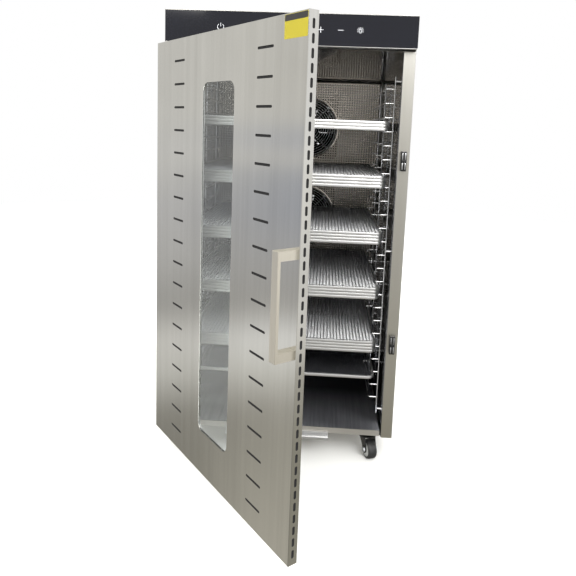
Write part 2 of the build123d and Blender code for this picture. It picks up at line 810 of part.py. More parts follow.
def magnetic_catch(z):
    """Black catch body with two pairs of steel pole plates."""
    w, h = catch_width / 2, catch_height / 2
    body = block(catch_x - w, catch_x + w, front - catch_depth + 2.0, front, z - h, z + h)
    body = fillet(body.edges().filter_by(Axis.Y), 2.0)
    for dz in (-h / 2, h / 2):
        for dx in (-w / 2, w / 2):
            body += block(catch_x + dx - 1.2, catch_x + dx + 1.2, front - catch_depth,
                          front - 4.0, z + dz - 8.0, z + dz + 8.0)
    return body


# ---------------------------------------------------------------- casters
def caster_places():
    """Swivel centre of each caster."""
    x = half - caster_side
    return {
        "front_left": (-x, front + caster_end),
        "front_right": (x, front + caster_end),
        "rear_left": (-x, rear - caster_end),
        "rear_right": (x, rear - caster_end),
    }


def place_caster(name, shape):
    """Move a caster piece from the origin to its corner, turned as it stands."""
    x, y = caster_places()[name]
    return Pos(x, y, 0) * Rot(0, 0, caster_turn[name]) * shape


def caster_plates():
    """Top plates with their bearing housings and kingpins."""
    plates = []
    for name in caster_places():
        level = Pos(0, 0, base_z - caster_plate_sheet / 2)
        plate = level * Box(caster_plate, caster_plate, caster_plate_sheet)
        plate = fillet(plate.edges().filter_by(Axis.Z), 5.0)
        plate += rod_z(race_radius, crown_z1 + clearance, base_z - caster_plate_sheet, 0, 0)
        plate += rod_z(kingpin, crown_z0 - clearance - 2.0, base_z - caster_plate_sheet, 0, 0)
        plate += rod_z(kingpin_head, crown_z0 - clearance - 2.0, crown_z0 - clearance, 0, 0)
        x, y = caster_places()[name]
        plates.append(Pos(x, y, 0) * plate)
    return group(plates)


def caster_fork(name):
    """Pressed fork: a round crown with two legs down to the axle."""
    inner = wheel_width / 2 + fork_side_gap
    crown = rod_z(fork_crown, crown_z0, crown_z1, 0, 0)
    fork = crown - rod_z(kingpin + running, crown_z0 - 1, crown_z1 + 1, 0, 0)
    reach = fork_crown - 6.0
    outline = Polyline((-caster_trail - fork_end, wheel_radius), (-reach, crown_z1), (reach, crown_z1),
                       (reach - 4.0, crown_z0 - 6.0), (-caster_trail + fork_end, wheel_radius), close=True)
    for side in (-1, 1):
        ends = sorted((side * inner, side * (inner + fork_sheet)))
        face = Plane(origin=(ends[0], 0, 0), x_dir=(0, 1, 0), z_dir=(1, 0, 0))
        leg = extrude(face * make_face(outline), amount=fork_sheet)
        leg += rod_x(fork_end, *ends, -caster_trail, wheel_radius)
        leg -= rod_x(axle_radius + running, ends[0] - 1, ends[1] + 1, -caster_trail, wheel_radius)
        fork += leg
    return place_caster(name, fork)


def caster_axle(name):
    """Axle bolt with its head and nut outside the fork."""
    out = wheel_width / 2 + fork_side_gap + fork_sheet
    axle = rod_x(axle_radius, -out, out, -caster_trail, wheel_radius)
    hexagon = RegularPolygon(axle_head, 6)
    for side in (-1, 1):
        face = Plane(origin=(side * out, -caster_trail, wheel_radius), x_dir=(0, 1, 0), z_dir=(side, 0, 0))
        axle += extrude(face * hexagon, amount=axle_head_height)
    return place_caster(name, axle)


def caster_wheel(name):
    """Wheel with a rounded tread and a shallow recess in each side."""
    wheel = rod_x(wheel_radius, -wheel_width / 2, wheel_width / 2, -caster_trail, wheel_radius)
    wheel = fillet(wheel.edges(), wheel_shoulder)
    for side in (-1, 1):
        ends = sorted((side * (wheel_width / 2 - wheel_recess), side * (wheel_width / 2 + 1)))
        recess = rod_x(wheel_radius - wheel_rim, *ends, -caster_trail, wheel_radius)
        boss = rod_x(axle_radius + wheel_boss, *ends, -caster_trail, wheel_radius)
        wheel -= recess - boss
    wheel -= rod_x(axle_radius + wheel_bore_gap, -wheel_width, wheel_width, -caster_trail, wheel_radius)
    return place_caster(name, wheel)


# ---------------------------------------------------------------- all nodes
nodes = {
    "side_panel_left": side_panel(-1),
    "side_panel_right": side_panel(1),
    "top_panel": top_panel(),
    "rear_cover": rear_cover(),
    "base_panel": base_panel(),
    "jamb_left": jamb(-1),
    "jamb_right": jamb(1),
    "liner_left": side_liner(-1),
    "liner_right": side_liner(1),
    "ceiling_liner": ceiling_liner(),
    "floor_pan": floor_pan(),
    "air_wall": air_wall(),
    "cabinet_screws": cabinet_screws(),
    "control_fascia": control_fascia(),
    "control_box": control_box(),
    "display_module": display_module(),
    "control_board": control_board(),
    "fan_frames": fan_frames(),
    "fan_guards": fan_guards(),
    "heater_rings": heater_rings(),
    "temperature_probe": temperature_probe(),
    "interior_lamp": interior_lamp(),
    "power_gland": power_gland(),
    "rack_left": rack(-1),
    "rack_right": rack(1),
    "drip_tray": drip_tray(),
    "door_skin": door_skin(),
    "window_glass": window_glass(),
    "window_frame": window_frame(),
    "door_handle": door_handle(),
    "handle_screws": handle_screws(),
    "caution_label": caution_label(),
    "striker_plates": striker_plates(),
    "hinge_leaves_cabinet": hinge_leaf_set(0),
    "hinge_leaves_door": swing(hinge_leaf_set(1)),
    "hinge_pins": hinge_pins(),
    "catch_lower": magnetic_catch(catch_z[0]),
    "catch_upper": magnetic_catch(catch_z[1]),
    "caster_plates": caster_plates(),
}
for i, z in enumerate(fan_z):
    nodes[f"fan_impeller_{i + 1}"] = fan_impeller(z)
for i, count in enumerate(stack_trays):
    nodes[f"tray_stack_{i + 1}"] = tray_stack(stack_step * (i + 1), count)
nodes["tray_single"] = tray_stack(levels - 2, 1)
for corner in caster_places():
    nodes[f"caster_fork_{corner}"] = caster_fork(corner)
    nodes[f"caster_axle_{corner}"] = caster_axle(corner)
    nodes[f"caster_wheel_{corner}"] = caster_wheel(corner)

for name, shape in nodes.items():
    export_step(shape, f"parts/{name}.step")
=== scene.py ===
import math

import bmesh
import bpy
from mathutils import Matrix, Vector


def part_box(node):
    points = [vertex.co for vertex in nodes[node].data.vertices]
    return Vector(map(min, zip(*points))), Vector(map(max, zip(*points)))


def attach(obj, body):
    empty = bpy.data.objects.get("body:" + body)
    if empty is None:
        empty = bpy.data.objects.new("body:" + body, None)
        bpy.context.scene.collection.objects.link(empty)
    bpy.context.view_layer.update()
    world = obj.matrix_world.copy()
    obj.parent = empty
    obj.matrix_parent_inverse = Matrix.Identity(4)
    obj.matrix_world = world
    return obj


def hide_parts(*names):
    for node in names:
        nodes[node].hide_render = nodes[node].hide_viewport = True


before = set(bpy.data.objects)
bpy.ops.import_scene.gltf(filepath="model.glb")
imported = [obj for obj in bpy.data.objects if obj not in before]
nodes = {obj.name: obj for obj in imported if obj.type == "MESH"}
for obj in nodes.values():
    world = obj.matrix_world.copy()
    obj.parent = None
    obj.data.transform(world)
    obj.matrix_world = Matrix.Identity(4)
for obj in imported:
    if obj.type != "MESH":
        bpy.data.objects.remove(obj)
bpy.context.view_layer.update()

# ---------------------------------------------------------------- outer sheets
# Side panels, lid, back, base and front jambs are 1.2 mm ferritic stainless sheet, brushed at the mill
# in one long direction, then sheared, folded and screwed together. The grain runs up the upright sheets.


def linear(hex_colour):
    """An sRGB hex value as linear RGBA."""
    channels = [int(hex_colour[i:i + 2], 16) / 255 for i in (1, 3, 5)]
    return [c / 12.92 if c <= 0.04045 else ((c + 0.055) / 1.055) ** 2.4 for c in channels] + [1.0]


def add(tree, kind, inputs=None, **settings):
    """Add one shader node; an input is either a value or the socket that feeds it."""
    item = tree.nodes.new("ShaderNode" + kind)
    for name, value in settings.items():
        setattr(item, name, value)
    for key, value in (inputs or {}).items():
        if isinstance(value, bpy.types.NodeSocket):
            tree.links.new(value, item.inputs[key])
        else:
            item.inputs[key].default_value = value
    return item


def blank_material(name):
    """An empty node material and the rest-frame coordinates that its patterns use."""
    material = bpy.data.materials.new(name)
    material.use_nodes = True
    tree = material.node_tree
    tree.nodes.clear()
    return material, tree, add(tree, "TexCoord").outputs["Object"]


def finish_with(tree, **shader_inputs):
    """Close a material with a Principled shader; underscores in names stand for spaces."""
    values = {name.replace("_", " "): value for name, value in shader_inputs.items()}
    shader = add(tree, "BsdfPrincipled", values)
    add(tree, "OutputMaterial", {"Surface": shader.outputs["BSDF"]})
    return shader


def brushed_stainless(name, pale, dull, gloss, hair, along, stretch, normal_axis=(0, 0, 1), painted_shade_tone=None):
    """Brushed stainless sheet: drawn-out hairlines change its shade, gloss and relief, and soft clouds
    of handling marks lie over them. hair is the hairline spacing in metres, along the grain's axis."""
    hair_ratio = 140  # length of a hairline over its width
    material, tree, place = blank_material(name)
    scale = [1 / hair] * 3
    scale["XYZ".index(along)] = 1 / (hair * hair_ratio)
    drawn = add(tree, "Mapping", {"Vector": place, "Scale": scale}).outputs["Vector"]
    hairs = add(tree, "TexNoise", {"Vector": drawn, "Scale": 1.0, "Detail": 4.0, "Roughness": 0.7})
    wide = add(tree, "Mapping", {"Vector": drawn, "Scale": (0.1, 0.1, 0.3)}).outputs["Vector"]
    bands = add(tree, "TexNoise", {"Vector": wide, "Scale": 1.0, "Detail": 2.0})
    clouds = add(tree, "TexNoise", {"Vector": place, "Scale": 4.5, "Detail": 3.0})
    both = add(tree, "Math", {0: bands.outputs["Fac"], 1: clouds.outputs["Fac"]}, operation="ADD")
    share = add(tree, "MapRange", {"Value": both.outputs[0], "From Min": 0.7, "From Max": 1.3})
    tone = add(tree, "MixRGB", {"Fac": share.outputs["Result"], "Color1": linear(dull),
                                "Color2": linear(pale)})
    fine = add(tree, "MapRange", {"Value": hairs.outputs["Fac"], "From Min": 0.3, "From Max": 0.7,
                                  "To Min": 0.97, "To Max": 1.02})
    lined = add(tree, "VectorMath", {0: tone.outputs["Color"], "Scale": fine.outputs["Result"]},
                operation="SCALE")
    shade = lined.outputs["Vector"]
    # Painted shade: where asked for, the tone is mixed towards a darker colour low on the sheet.
    if painted_shade_tone:
        height = add(tree, "SeparateXYZ", {"Vector": place}).outputs["Z"]
        painted_shade_share = add(tree, "MapRange", {"Value": height, "From Min": 0.1, "From Max": 0.95})
        shade = add(tree, "MixRGB", {"Fac": painted_shade_share.outputs["Result"], "Color1": linear(painted_shade_tone),
                                     "Color2": shade}).outputs["Color"]
    rough = add(tree, "MapRange", {"Value": hairs.outputs["Fac"], "To Min": gloss - 0.03,
                                   "To Max": gloss + 0.04})
    relief = add(tree, "Bump", {"Height": hairs.outputs["Fac"], "Strength": 0.05, "Distance": 0.0003})
    grain = add(tree, "CombineXYZ", {"X": normal_axis[0], "Y": normal_axis[1], "Z": normal_axis[2]})
    finish_with(tree, Base_Color=shade, Metallic=1.0, Roughness=rough.outputs["Result"],
                Anisotropic=stretch, Anisotropic_Rotation=0.25, Tangent=grain.outputs["Vector"],
                Normal=relief.outputs["Normal"])
    return material


def dress(material, *names):
    """Give a finish to CAD nodes that keep their own mesh."""
    for name in names:
        nodes[name].material_slots[0].material = material


hair_spacing = 0.0022  # true hairlines are near 0.1 mm; drawn this coarse so that they still show
upright_sheet = brushed_stainless("cabinet_brushed_upright", "#d6d5d0", "#c9c8c3", 0.3, hair_spacing,
                                  "Z", 0.6)
# The jambs carry painted shade: their tone is darker towards the bottom.
front_strip = brushed_stainless("jamb_brushed_painted_shade", "#d0cec7", "#c3c1b9", 0.34, hair_spacing,
                                "Z", 0.5, painted_shade_tone="#c6c2b5")
flat_sheet = brushed_stainless("cabinet_brushed_flat", "#d0cfca", "#bfbeb9", 0.32, hair_spacing,
                               "X", 0.5, (0, 1, 0))
dress(upright_sheet, "side_panel_left", "side_panel_right", "rear_cover")
dress(front_strip, "jamb_left", "jamb_right")
dress(flat_sheet, "top_panel", "base_panel")

# ---------------------------------------------------------------- chamber liners
# The side liners and the sloping ceiling are bright annealed stainless, near a mirror. It waves a
# little between its fixings, so reflections bend, and it carries faint vertical wipe marks.


def shaded(tree, colour, pattern, darkest, lightest):
    """A colour made darker and lighter by a pattern."""
    lift = add(tree, "MapRange", {"Value": pattern, "To Min": darkest, "To Max": lightest}).outputs["Result"]
    tone = add(tree, "VectorMath", {0: linear(colour)[:3], "Scale": lift}, operation="SCALE")
    return tone.outputs["Vector"]


def bright_annealed(name, colour, gloss, wave):
    """Mirror-like rolled stainless with a slow waviness and drawn wipe marks."""
    material, tree, place = blank_material(name)
    slow = add(tree, "TexNoise", {"Vector": place, "Scale": 9.0, "Detail": 1.0})
    wiped = add(tree, "Mapping", {"Vector": place, "Scale": (90.0, 90.0, 4.0)}).outputs["Vector"]
    marks = add(tree, "TexNoise", {"Vector": wiped, "Scale": 1.0, "Detail": 3.0})
    rough = add(tree, "MapRange", {"Value": marks.outputs["Fac"], "From Min": 0.3, "From Max": 0.75,
                                   "To Min": gloss, "To Max": gloss + 0.12})
    relief = add(tree, "Bump", {"Height": slow.outputs["Fac"], "Strength": wave, "Distance": 0.004})
    shade = shaded(tree, colour, marks.outputs["Fac"], 0.86, 1.08)
    finish_with(tree, Base_Color=shade, Metallic=1.0, Roughness=rough.outputs["Result"],
                Normal=relief.outputs["Normal"])
    return material


# Painted shade: the liners' and the ceiling's colours are set darker than bright stainless is, for the deep
# chamber's shade.
dress(bright_annealed("liner_annealed_painted_shade", "#8b8c8f", 0.06, 0.2), "liner_left", "liner_right")
dress(bright_annealed("ceiling_annealed_painted_shade", "#8d8b88", 0.06, 0.2), "ceiling_liner")

# ---------------------------------------------------------------- chamber floor
# The floor pan is semi-polished stainless, folded down at the front into the threshold. Wiping it dry
# leaves long streaks from front to back. It is toned darker towards the rear, to stand for the shade.
streak_spacing = 0.006
bright_reach, shade_reach = 0.03, 0.24  # how far in from the front the darker tone starts and is full
floor_material, tree, place = blank_material("floor_semi_polished")
wiped = add(tree, "Mapping", {"Vector": place, "Scale": (1 / streak_spacing, 6.0, 6.0)}).outputs["Vector"]
streaks = add(tree, "TexNoise", {"Vector": wiped, "Scale": 1.0, "Detail": 4.0})
pools = add(tree, "TexNoise", {"Vector": place, "Scale": 12.0, "Detail": 3.0})
blend_share = add(tree, "MapRange", {"Value": streaks.outputs["Fac"], "From Min": 0.3, "From Max": 0.7})
pan_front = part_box("floor_pan")[0].y
wiped_tone = add(tree, "MixRGB", {"Fac": blend_share.outputs["Result"], "Color1": linear("#c3c5cc"),
                                  "Color2": linear("#dfe0e6")})
depth = add(tree, "SeparateXYZ", {"Vector": place}).outputs["Y"]
shaded_rear = add(tree, "MapRange", {"Value": depth, "From Min": pan_front + bright_reach,
                                "From Max": pan_front + shade_reach})
pan_tone = add(tree, "MixRGB", {"Fac": shaded_rear.outputs["Result"], "Color1": wiped_tone.outputs["Color"],
                                "Color2": linear("#55565c")})
# Painted reflection: the front fold gets a flat, warmer tone of its own.
painted_fold_reflection_share = add(tree, "MapRange", {"Value": depth, "From Min": pan_front + 0.0015,
                                    "From Max": pan_front + 0.001})
shade = add(tree, "MixRGB", {"Fac": painted_fold_reflection_share.outputs["Result"], "Color1": pan_tone.outputs["Color"],
                             "Color2": linear("#cfccc5")})
rough = add(tree, "MapRange", {"Value": pools.outputs["Fac"], "To Min": 0.3, "To Max": 0.55})
relief = add(tree, "Bump", {"Height": streaks.outputs["Fac"], "Strength": 0.15, "Distance": 0.0005})
finish_with(tree, Base_Color=shade.outputs["Color"], Metallic=1.0, Roughness=rough.outputs["Result"],
            Normal=relief.outputs["Normal"])
dress(floor_material, "floor_pan")


def soften(name, radius, segments=2):
    """Round the folds of a CAD node's own mesh, as bent sheet is."""
    bend = nodes[name].modifiers.new("folds", "BEVEL")
    bend.width = radius
    bend.segments = segments
    bend.limit_method = "ANGLE"
    bend.angle_limit = math.radians(50)
    bend.harden_normals = True


soften("floor_pan", 0.0011)

# ---------------------------------------------------------------- perforated inner wall
# The wall in front of the fans is thin stainless with square perforation, with a pressed collar round
# each fan opening. Its holes let the heated air through evenly. Its steel is toned darker towards the
# floor, to stand for the deep shade low in the chamber.


def new_piece(name, vertices, faces, materials, face_material=None, smooth_angle=35):
    """A mesh object from points and faces; face_material picks the material of each face."""
    mesh = bpy.data.meshes.new(name)
    mesh.from_pydata([tuple(v) for v in vertices], [], faces)
    for material in materials:
        mesh.materials.append(material)
    if face_material:
        mesh.polygons.foreach_set("material_index", face_material)
    mesh.shade_smooth()
    mesh.set_sharp_from_angle(angle=math.radians(smooth_angle))
    mesh.update()
    thing = bpy.data.objects.new(name, mesh)
    bpy.context.scene.collection.objects.link(thing)
    return thing


def lathe(profile, centre, axis, steps, closed=True):
    """Turn (radius, offset along the axis) points about the axis through centre."""
    along = Vector(axis).normalized()
    side = along.orthogonal().normalized()
    up = along.cross(side)
    points, faces = [], []
    for k in range(steps):
        turn = 2 * math.pi * k / steps
        out = side * math.cos(turn) + up * math.sin(turn)
        points += [Vector(centre) + out * r + along * h for r, h in profile]
    n = len(profile)
    for k in range(steps):
        a, b = k * n, (k + 1) % steps * n
        for j in range(n if closed else n - 1):
            i = (j + 1) % n
            faces.append((a + j, b + j, b + i, a + i))
    return points, faces


def joined(*parts):
    """Several (points, faces) sets as one."""
    points, faces = [], []
    for some_points, some_faces in parts:
        start = len(points)
        points += some_points
        faces += [tuple(i + start for i in face) for face in some_faces]
    return points, faces


hole_pitch = 0.008  # the real holes are finer; at this pitch they still show
hole_share = 0.48
collar_width = 0.007
wall_low, wall_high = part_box("air_wall")
fan_centres = []
for i in (1, 2, 3):
    low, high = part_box(f"fan_impeller_{i}")
    fan_centres.append(Vector((0, (low.y + high.y) / 2, (low.z + high.z) / 2)))
frame_low, frame_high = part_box("fan_frames")
fan_x = (frame_low.x + frame_high.x) / 2
for centre in fan_centres:
    centre.x = fan_x
fan_size = frame_high.x - frame_low.x
fan_bore = fan_size / 2 - 0.005


def perforated_sheet(y, x0, x1, z0, z1):
    """A grid of square holes, left open at the fans and plain along its edges."""
    columns = int((x1 - x0) / hole_pitch)
    rows = int((z1 - z0) / hole_pitch)
    edge_x = (x1 - x0 - columns * hole_pitch) / 2
    edge_z = (z1 - z0 - rows * hole_pitch) / 2
    xs = [x0 + edge_x + i * hole_pitch for i in range(columns + 1)]
    zs = [z0 + edge_z + j * hole_pitch for j in range(rows + 1)]
    points = [Vector((x, y, z)) for z in zs for x in xs]
    faces = []
    margin = hole_pitch * (1 - hole_share) / 2
    for j in range(rows):
        for i in range(columns):
            corners = [j * (columns + 1) + i, j * (columns + 1) + i + 1,
                       (j + 1) * (columns + 1) + i + 1, (j + 1) * (columns + 1) + i]
            middle = Vector(((xs[i] + xs[i + 1]) / 2, 0, (zs[j] + zs[j + 1]) / 2))
            reach = min(math.hypot(middle.x - c.x, middle.z - c.z) for c in fan_centres)
            if reach < fan_bore:
                continue
            rim = i in (0, columns - 1) or j in (0, rows - 1)
            if rim or reach < fan_bore + collar_width:
                faces.append(tuple(corners))
                continue
            start = len(points)
            for dx, dz in ((margin, margin), (hole_pitch - margin, margin),
                           (hole_pitch - margin, hole_pitch - margin), (margin, hole_pitch - margin)):
                points.append(Vector((xs[i] + dx, y, zs[j] + dz)))
            for k in range(4):
                following = (k + 1) % 4
                faces.append((corners[k], corners[following], start + following, start + k))
    return points, faces


wall_parts = [perforated_sheet(wall_low.y, wall_low.x, wall_high.x, wall_low.z, wall_high.z)]
for centre in fan_centres:
    collar = [(fan_bore, 0.0008), (fan_bore, -0.0004), (fan_bore + 0.0012, -0.0012),
              (fan_bore + collar_width, -0.0006), (fan_bore + collar_width, 0.0)]
    middle = (centre.x, wall_low.y, centre.z)
    wall_parts.append(lathe(collar, middle, (0, 1, 0), 96, closed=False))
perforated_steel, tree, place = blank_material("perforated_stainless")
smears = add(tree, "TexNoise", {"Vector": place, "Scale": 7.0, "Detail": 4.0})
worn = add(tree, "MixRGB", {"Fac": smears.outputs["Fac"], "Color1": linear("#b3aba1"),
                            "Color2": linear("#c9c2b8")})
height = add(tree, "SeparateXYZ", {"Vector": place}).outputs["Z"]
unshaded_above = 0.25  # how far below its top the wall starts to be toned darker
unshaded_share = add(tree, "MapRange", {"Value": height, "From Min": wall_low.z,
                                     "From Max": wall_high.z - unshaded_above})
# Painted shade: the wall's tone goes to near black towards the floor.
shade = add(tree, "MixRGB", {"Fac": unshaded_share.outputs["Result"], "Color1": linear("#38373a"),
                             "Color2": worn.outputs["Color"]})
rough = add(tree, "MapRange", {"Value": smears.outputs["Fac"], "To Min": 0.06, "To Max": 0.15})
finish_with(tree, Base_Color=shade.outputs["Color"], Metallic=1.0, Roughness=rough.outputs["Result"])
inner_wall = new_piece("perforated_wall", *joined(*wall_parts), [perforated_steel])
wall_sheet = inner_wall.modifiers.new("sheet", "SOLIDIFY")
wall_sheet.thickness = 0.0009
wall_sheet.offset = -1
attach(inner_wall, "cabinet")
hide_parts("air_wall")

# ---------------------------------------------------------------- fans
# Three axial fans: die-cast square housings with a black powder coat, moulded glass-filled nylon
# wheels with nine swept blades on a cup, and bright nickelled ring guards welded to four spokes.


def moulded(name, colour, gloss, grain, depth):
    """Moulded or coated surface: a fine spark or orange-peel texture and uneven gloss."""
    material, tree, place = blank_material(name)
    pits = add(tree, "TexNoise", {"Vector": place, "Scale": 1 / grain, "Detail": 2.0})
    wear = add(tree, "TexNoise", {"Vector": place, "Scale": 25.0, "Detail": 3.0})
    rough = add(tree, "MapRange", {"Value": wear.outputs["Fac"], "To Min": gloss - 0.08,
                                   "To Max": gloss + 0.1})
    shade = shaded(tree, colour, wear.outputs["Fac"], 0.8, 1.25)
    relief = add(tree, "Bump", {"Height": pits.outputs["Fac"], "Strength": 0.2, "Distance": depth})
    finish_with(tree, Base_Color=shade, Roughness=rough.outputs["Result"], Normal=relief.outputs["Normal"])
    return material


def plated(name, colour, gloss):
    """Bright plating over drawn wire or pressed steel, with slightly uneven polish."""
    material, tree, place = blank_material(name)
    uneven = add(tree, "TexNoise", {"Vector": place, "Scale": 60.0, "Detail": 2.0})
    rough = add(tree, "MapRange", {"Value": uneven.outputs["Fac"], "To Min": gloss, "To Max": gloss + 0.14})
    shade = shaded(tree, colour, uneven.outputs["Fac"], 0.9, 1.05)
    finish_with(tree, Base_Color=shade, Metallic=1.0, Roughness=rough.outputs["Result"])
    return material


def wires(paths, radius, sides=6):
    """Round wires along point lists; a path is (points, closed)."""
    line = bpy.data.curves.new("wires", "CURVE")
    line.dimensions = "3D"
    line.bevel_depth = radius
    line.bevel_resolution = max(0, sides // 2 - 2)
    line.use_fill_caps = True
    for points, closed in paths:
        spline = line.splines.new("POLY")
        spline.points.add(len(points) - 1)
        spline.points.foreach_set("co", [c for p in points for c in (*p, 1.0)])
        spline.use_cyclic_u = closed
    carrier = bpy.data.objects.new("wires", line)
    mesh = bpy.data.meshes.new_from_object(carrier)
    found = [v.co.copy() for v in mesh.vertices], [tuple(p.vertices) for p in mesh.polygons]
    bpy.data.objects.remove(carrier)
    bpy.data.meshes.remove(mesh)
    bpy.data.curves.remove(line)
    return found


def circle_path(centre, radius, steps=72):
    """Points of a circle square to Y."""
    x, y, z = centre
    turns = [2 * math.pi * k / steps for k in range(steps)]
    return [Vector((x + radius * math.cos(t), y, z + radius * math.sin(t))) for t in turns]


cast_black = moulded("fan_housing_powder_coat", "#1b1b1c", 0.5, 0.0012, 0.0002)
fan_nylon = moulded("fan_wheel_nylon", "#17181a", 0.42, 0.0008, 0.0001)
chrome = plated("chrome_plated_wire", "#f0f0f1", 0.12)
dress(cast_black, "fan_frames")

blade_count = 9
hub_radius = 0.036
blade_stations = 7
chord_root, chord_tip = 0.032, 0.060
twist_root, twist_tip = math.radians(44), math.radians(26)
blade_sheet = 0.0018
blade_sweep = math.radians(16)
blade_camber = 0.003
tip_clearance = 0.004
pole = 0.0002  # turned faces stop this far from their axis


def impeller_wheel(centre, y0, y1):
    """Cup with a rounded face and a cap, shaft, and swept, twisted, cambered blades."""
    tip_radius = fan_bore - tip_clearance
    cup = [(pole, y0), (hub_radius - 0.010, y0), (hub_radius - 0.003, y0 + 0.0012),
           (hub_radius - 0.0004, y0 + 0.004), (hub_radius, y0 + 0.008), (hub_radius, y1),
           (hub_radius - 0.003, y1), (hub_radius - 0.003, y0 + 0.006), (pole, y0 + 0.006)]
    cap = [(pole, y0 - 0.0006), (0.015, y0 - 0.0006), (0.017, y0), (0.017, y0 + 0.001), (pole, y0 + 0.001)]
    shaft = [(pole, y0 + 0.005), (0.0039, y0 + 0.005), (0.0039, y1 - 0.002), (pole, y1 - 0.002)]
    centre_line = (centre.x, 0, centre.z)
    parts = [lathe(cup, centre_line, (0, 1, 0), 48), lathe(cap, centre_line, (0, 1, 0), 32),
             lathe(shaft, centre_line, (0, 1, 0), 20)]
    middle_y = (y0 + y1) / 2
    for b in range(blade_count):
        points, faces = [], []
        for s in range(blade_stations):
            share = s / (blade_stations - 1)
            radius = hub_radius - 0.002 + (tip_radius - hub_radius + 0.002) * share
            chord = chord_root + (chord_tip - chord_root) * share
            twist = twist_root + (twist_tip - twist_root) * share
            lean = 2 * math.pi * b / blade_count + blade_sweep * share * share
            section = []
            for u in (-0.5, -0.25, 0.0, 0.25, 0.5):
                camber = blade_camber * (1 - 4 * u * u)
                half = blade_sheet / 2 * (1.0 if abs(u) < 0.5 else 0.35)
                section.append((u * chord, camber, half))
            loop = [(u, c + h) for u, c, h in section] + [(u, c - h) for u, c, h in reversed(section)]
            for u, c in loop:
                across = u * math.cos(twist) - c * math.sin(twist)
                along = u * math.sin(twist) + c * math.cos(twist)
                turn = lean + across / radius
                points.append(Vector((centre.x + radius * math.cos(turn), middle_y + along,
                                      centre.z + radius * math.sin(turn))))
        n = len(loop)
        for s in range(blade_stations - 1):
            for k in range(n):
                k2 = (k + 1) % n
                faces.append((s * n + k, s * n + k2, (s + 1) * n + k2, (s + 1) * n + k))
        faces += [tuple(range(n)), tuple(reversed(range((blade_stations - 1) * n, blade_stations * n)))]
        parts.append((points, faces))
    return joined(*parts)


for i, centre in enumerate(fan_centres, 1):
    low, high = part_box(f"fan_impeller_{i}")
    wheel = new_piece(f"fan_wheel_{i}", *impeller_wheel(centre, low.y, high.y), [fan_nylon])
    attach(wheel, f"fan_{i}")
    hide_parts(f"fan_impeller_{i}")

guard_wire = 0.0014  # the wire's radius; real guards use about 1 mm, too thin for the rings to show
guard_pitch = 0.0075
guard_inner = 0.028
guard_foot = 0.004
guard_low, guard_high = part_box("fan_guards")
guard_outer = (guard_high.x - guard_low.x) / 2
guard_parts = []
for centre in fan_centres:
    ring_y = guard_low.y + guard_wire
    spoke_y = ring_y + 1.4 * guard_wire
    rings = []
    radius = guard_outer - guard_wire
    while radius > guard_inner:
        rings.append((circle_path((centre.x, ring_y, centre.z), radius), True))
        radius -= guard_pitch
    rings.append((circle_path((centre.x, ring_y, centre.z), guard_inner - 2 * guard_wire, 48), True))
    for turn in (45, 135, 225, 315):
        out = Vector((math.cos(math.radians(turn)), 0, math.sin(math.radians(turn))))
        middle = Vector((centre.x, spoke_y, centre.z))
        spoke = [middle + out * (guard_inner - 3 * guard_wire), middle + out * (guard_outer - guard_wire)]
        rings.append((spoke, False))
        foot = Vector((centre.x, 0, centre.z)) + out * (guard_outer - guard_foot)
        socket = [(pole, ring_y - 0.0006), (0.003, ring_y - 0.0006), (guard_foot, ring_y + 0.0004),
                  (guard_foot, wall_low.y), (pole, wall_low.y)]
        guard_parts.append(lathe(socket, foot, (0, 1, 0), 20))
    guard_parts.append(wires(rings, guard_wire, 8))
guard_plate = plated("guard_bright_nickel", "#ffffff", 0.38)
guards = new_piece("fan_ring_guards", *joined(*guard_parts), [guard_plate])
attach(guards, "cabinet")
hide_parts("fan_guards")

# ---------------------------------------------------------------- heaters, probe, lamp and gland
# Tubular heaters with a heat-tinted steel sheath, a steel sensor rod, a frosted polycarbonate lamp
# lens and a moulded nylon gland for the mains lead.
heater_steel, tree, place = blank_material("heater_sheath_tinted")
tint = add(tree, "TexNoise", {"Vector": place, "Scale": 18.0, "Detail": 3.0})
temper = add(tree, "MapRange", {"Value": tint.outputs["Fac"], "From Min": 0.35, "From Max": 0.65})
shade = add(tree, "MixRGB", {"Fac": temper.outputs["Result"], "Color1": linear("#7c6a52"),
                             "Color2": linear("#5c6370")})
rough = add(tree, "MapRange", {"Value": tint.outputs["Fac"], "To Min": 0.3, "To Max": 0.5})
finish_with(tree, Base_Color=shade.outputs["Color"], Metallic=1.0, Roughness=rough.outputs["Result"])
dress(heater_steel, "heater_rings", "temperature_probe")

lens, tree, place = blank_material("lamp_lens_frosted")
frost = add(tree, "TexNoise", {"Vector": place, "Scale": 900.0, "Detail": 2.0})
relief = add(tree, "Bump", {"Height": frost.outputs["Fac"], "Strength": 0.3, "Distance": 0.0002})
shade = add(tree, "MixRGB", {"Fac": frost.outputs["Fac"], "Color1": linear("#ecebe4"),
                             "Color2": linear("#fbfaf5")})
finish_with(tree, Base_Color=shade.outputs["Color"], Roughness=0.4, Transmission_Weight=0.3,
            Normal=relief.outputs["Normal"])
dress(lens, "interior_lamp")
black_nylon = moulded("gland_nylon", "#191919", 0.45, 0.0007, 0.0001)
dress(black_nylon, "power_gland")

# ---------------------------------------------------------------- wire racks
# Side racks of chromed steel wire: level wires bent to a shallow C and welded to round uprights,
# which hang on pegs in the liners.
dress(chrome, "rack_left", "rack_right")

# ---------------------------------------------------------------- trays
# Each tray is bright stainless: a folded rim with a rolled bead, and a woven mesh set into it. The
# thick front-to-back wires of the mesh read as ridges, over finer cross wires.
rim_height = 0.0076
tray_step = 0.0078
rim_corner = 0.02
mesh_level = 0.0036
ridge_pitch, cross_pitch = 0.0086, 0.004
# Radii of the ridges and of the cross wires. The layers of a pile read as one thick mesh, so its wires
# are drawn stouter than the lone tray's, through which the dark below shows.
pile_wires = (0.0013, 0.00045)
single_wires = (0.0005, 0.00025)
corner_steps = 8


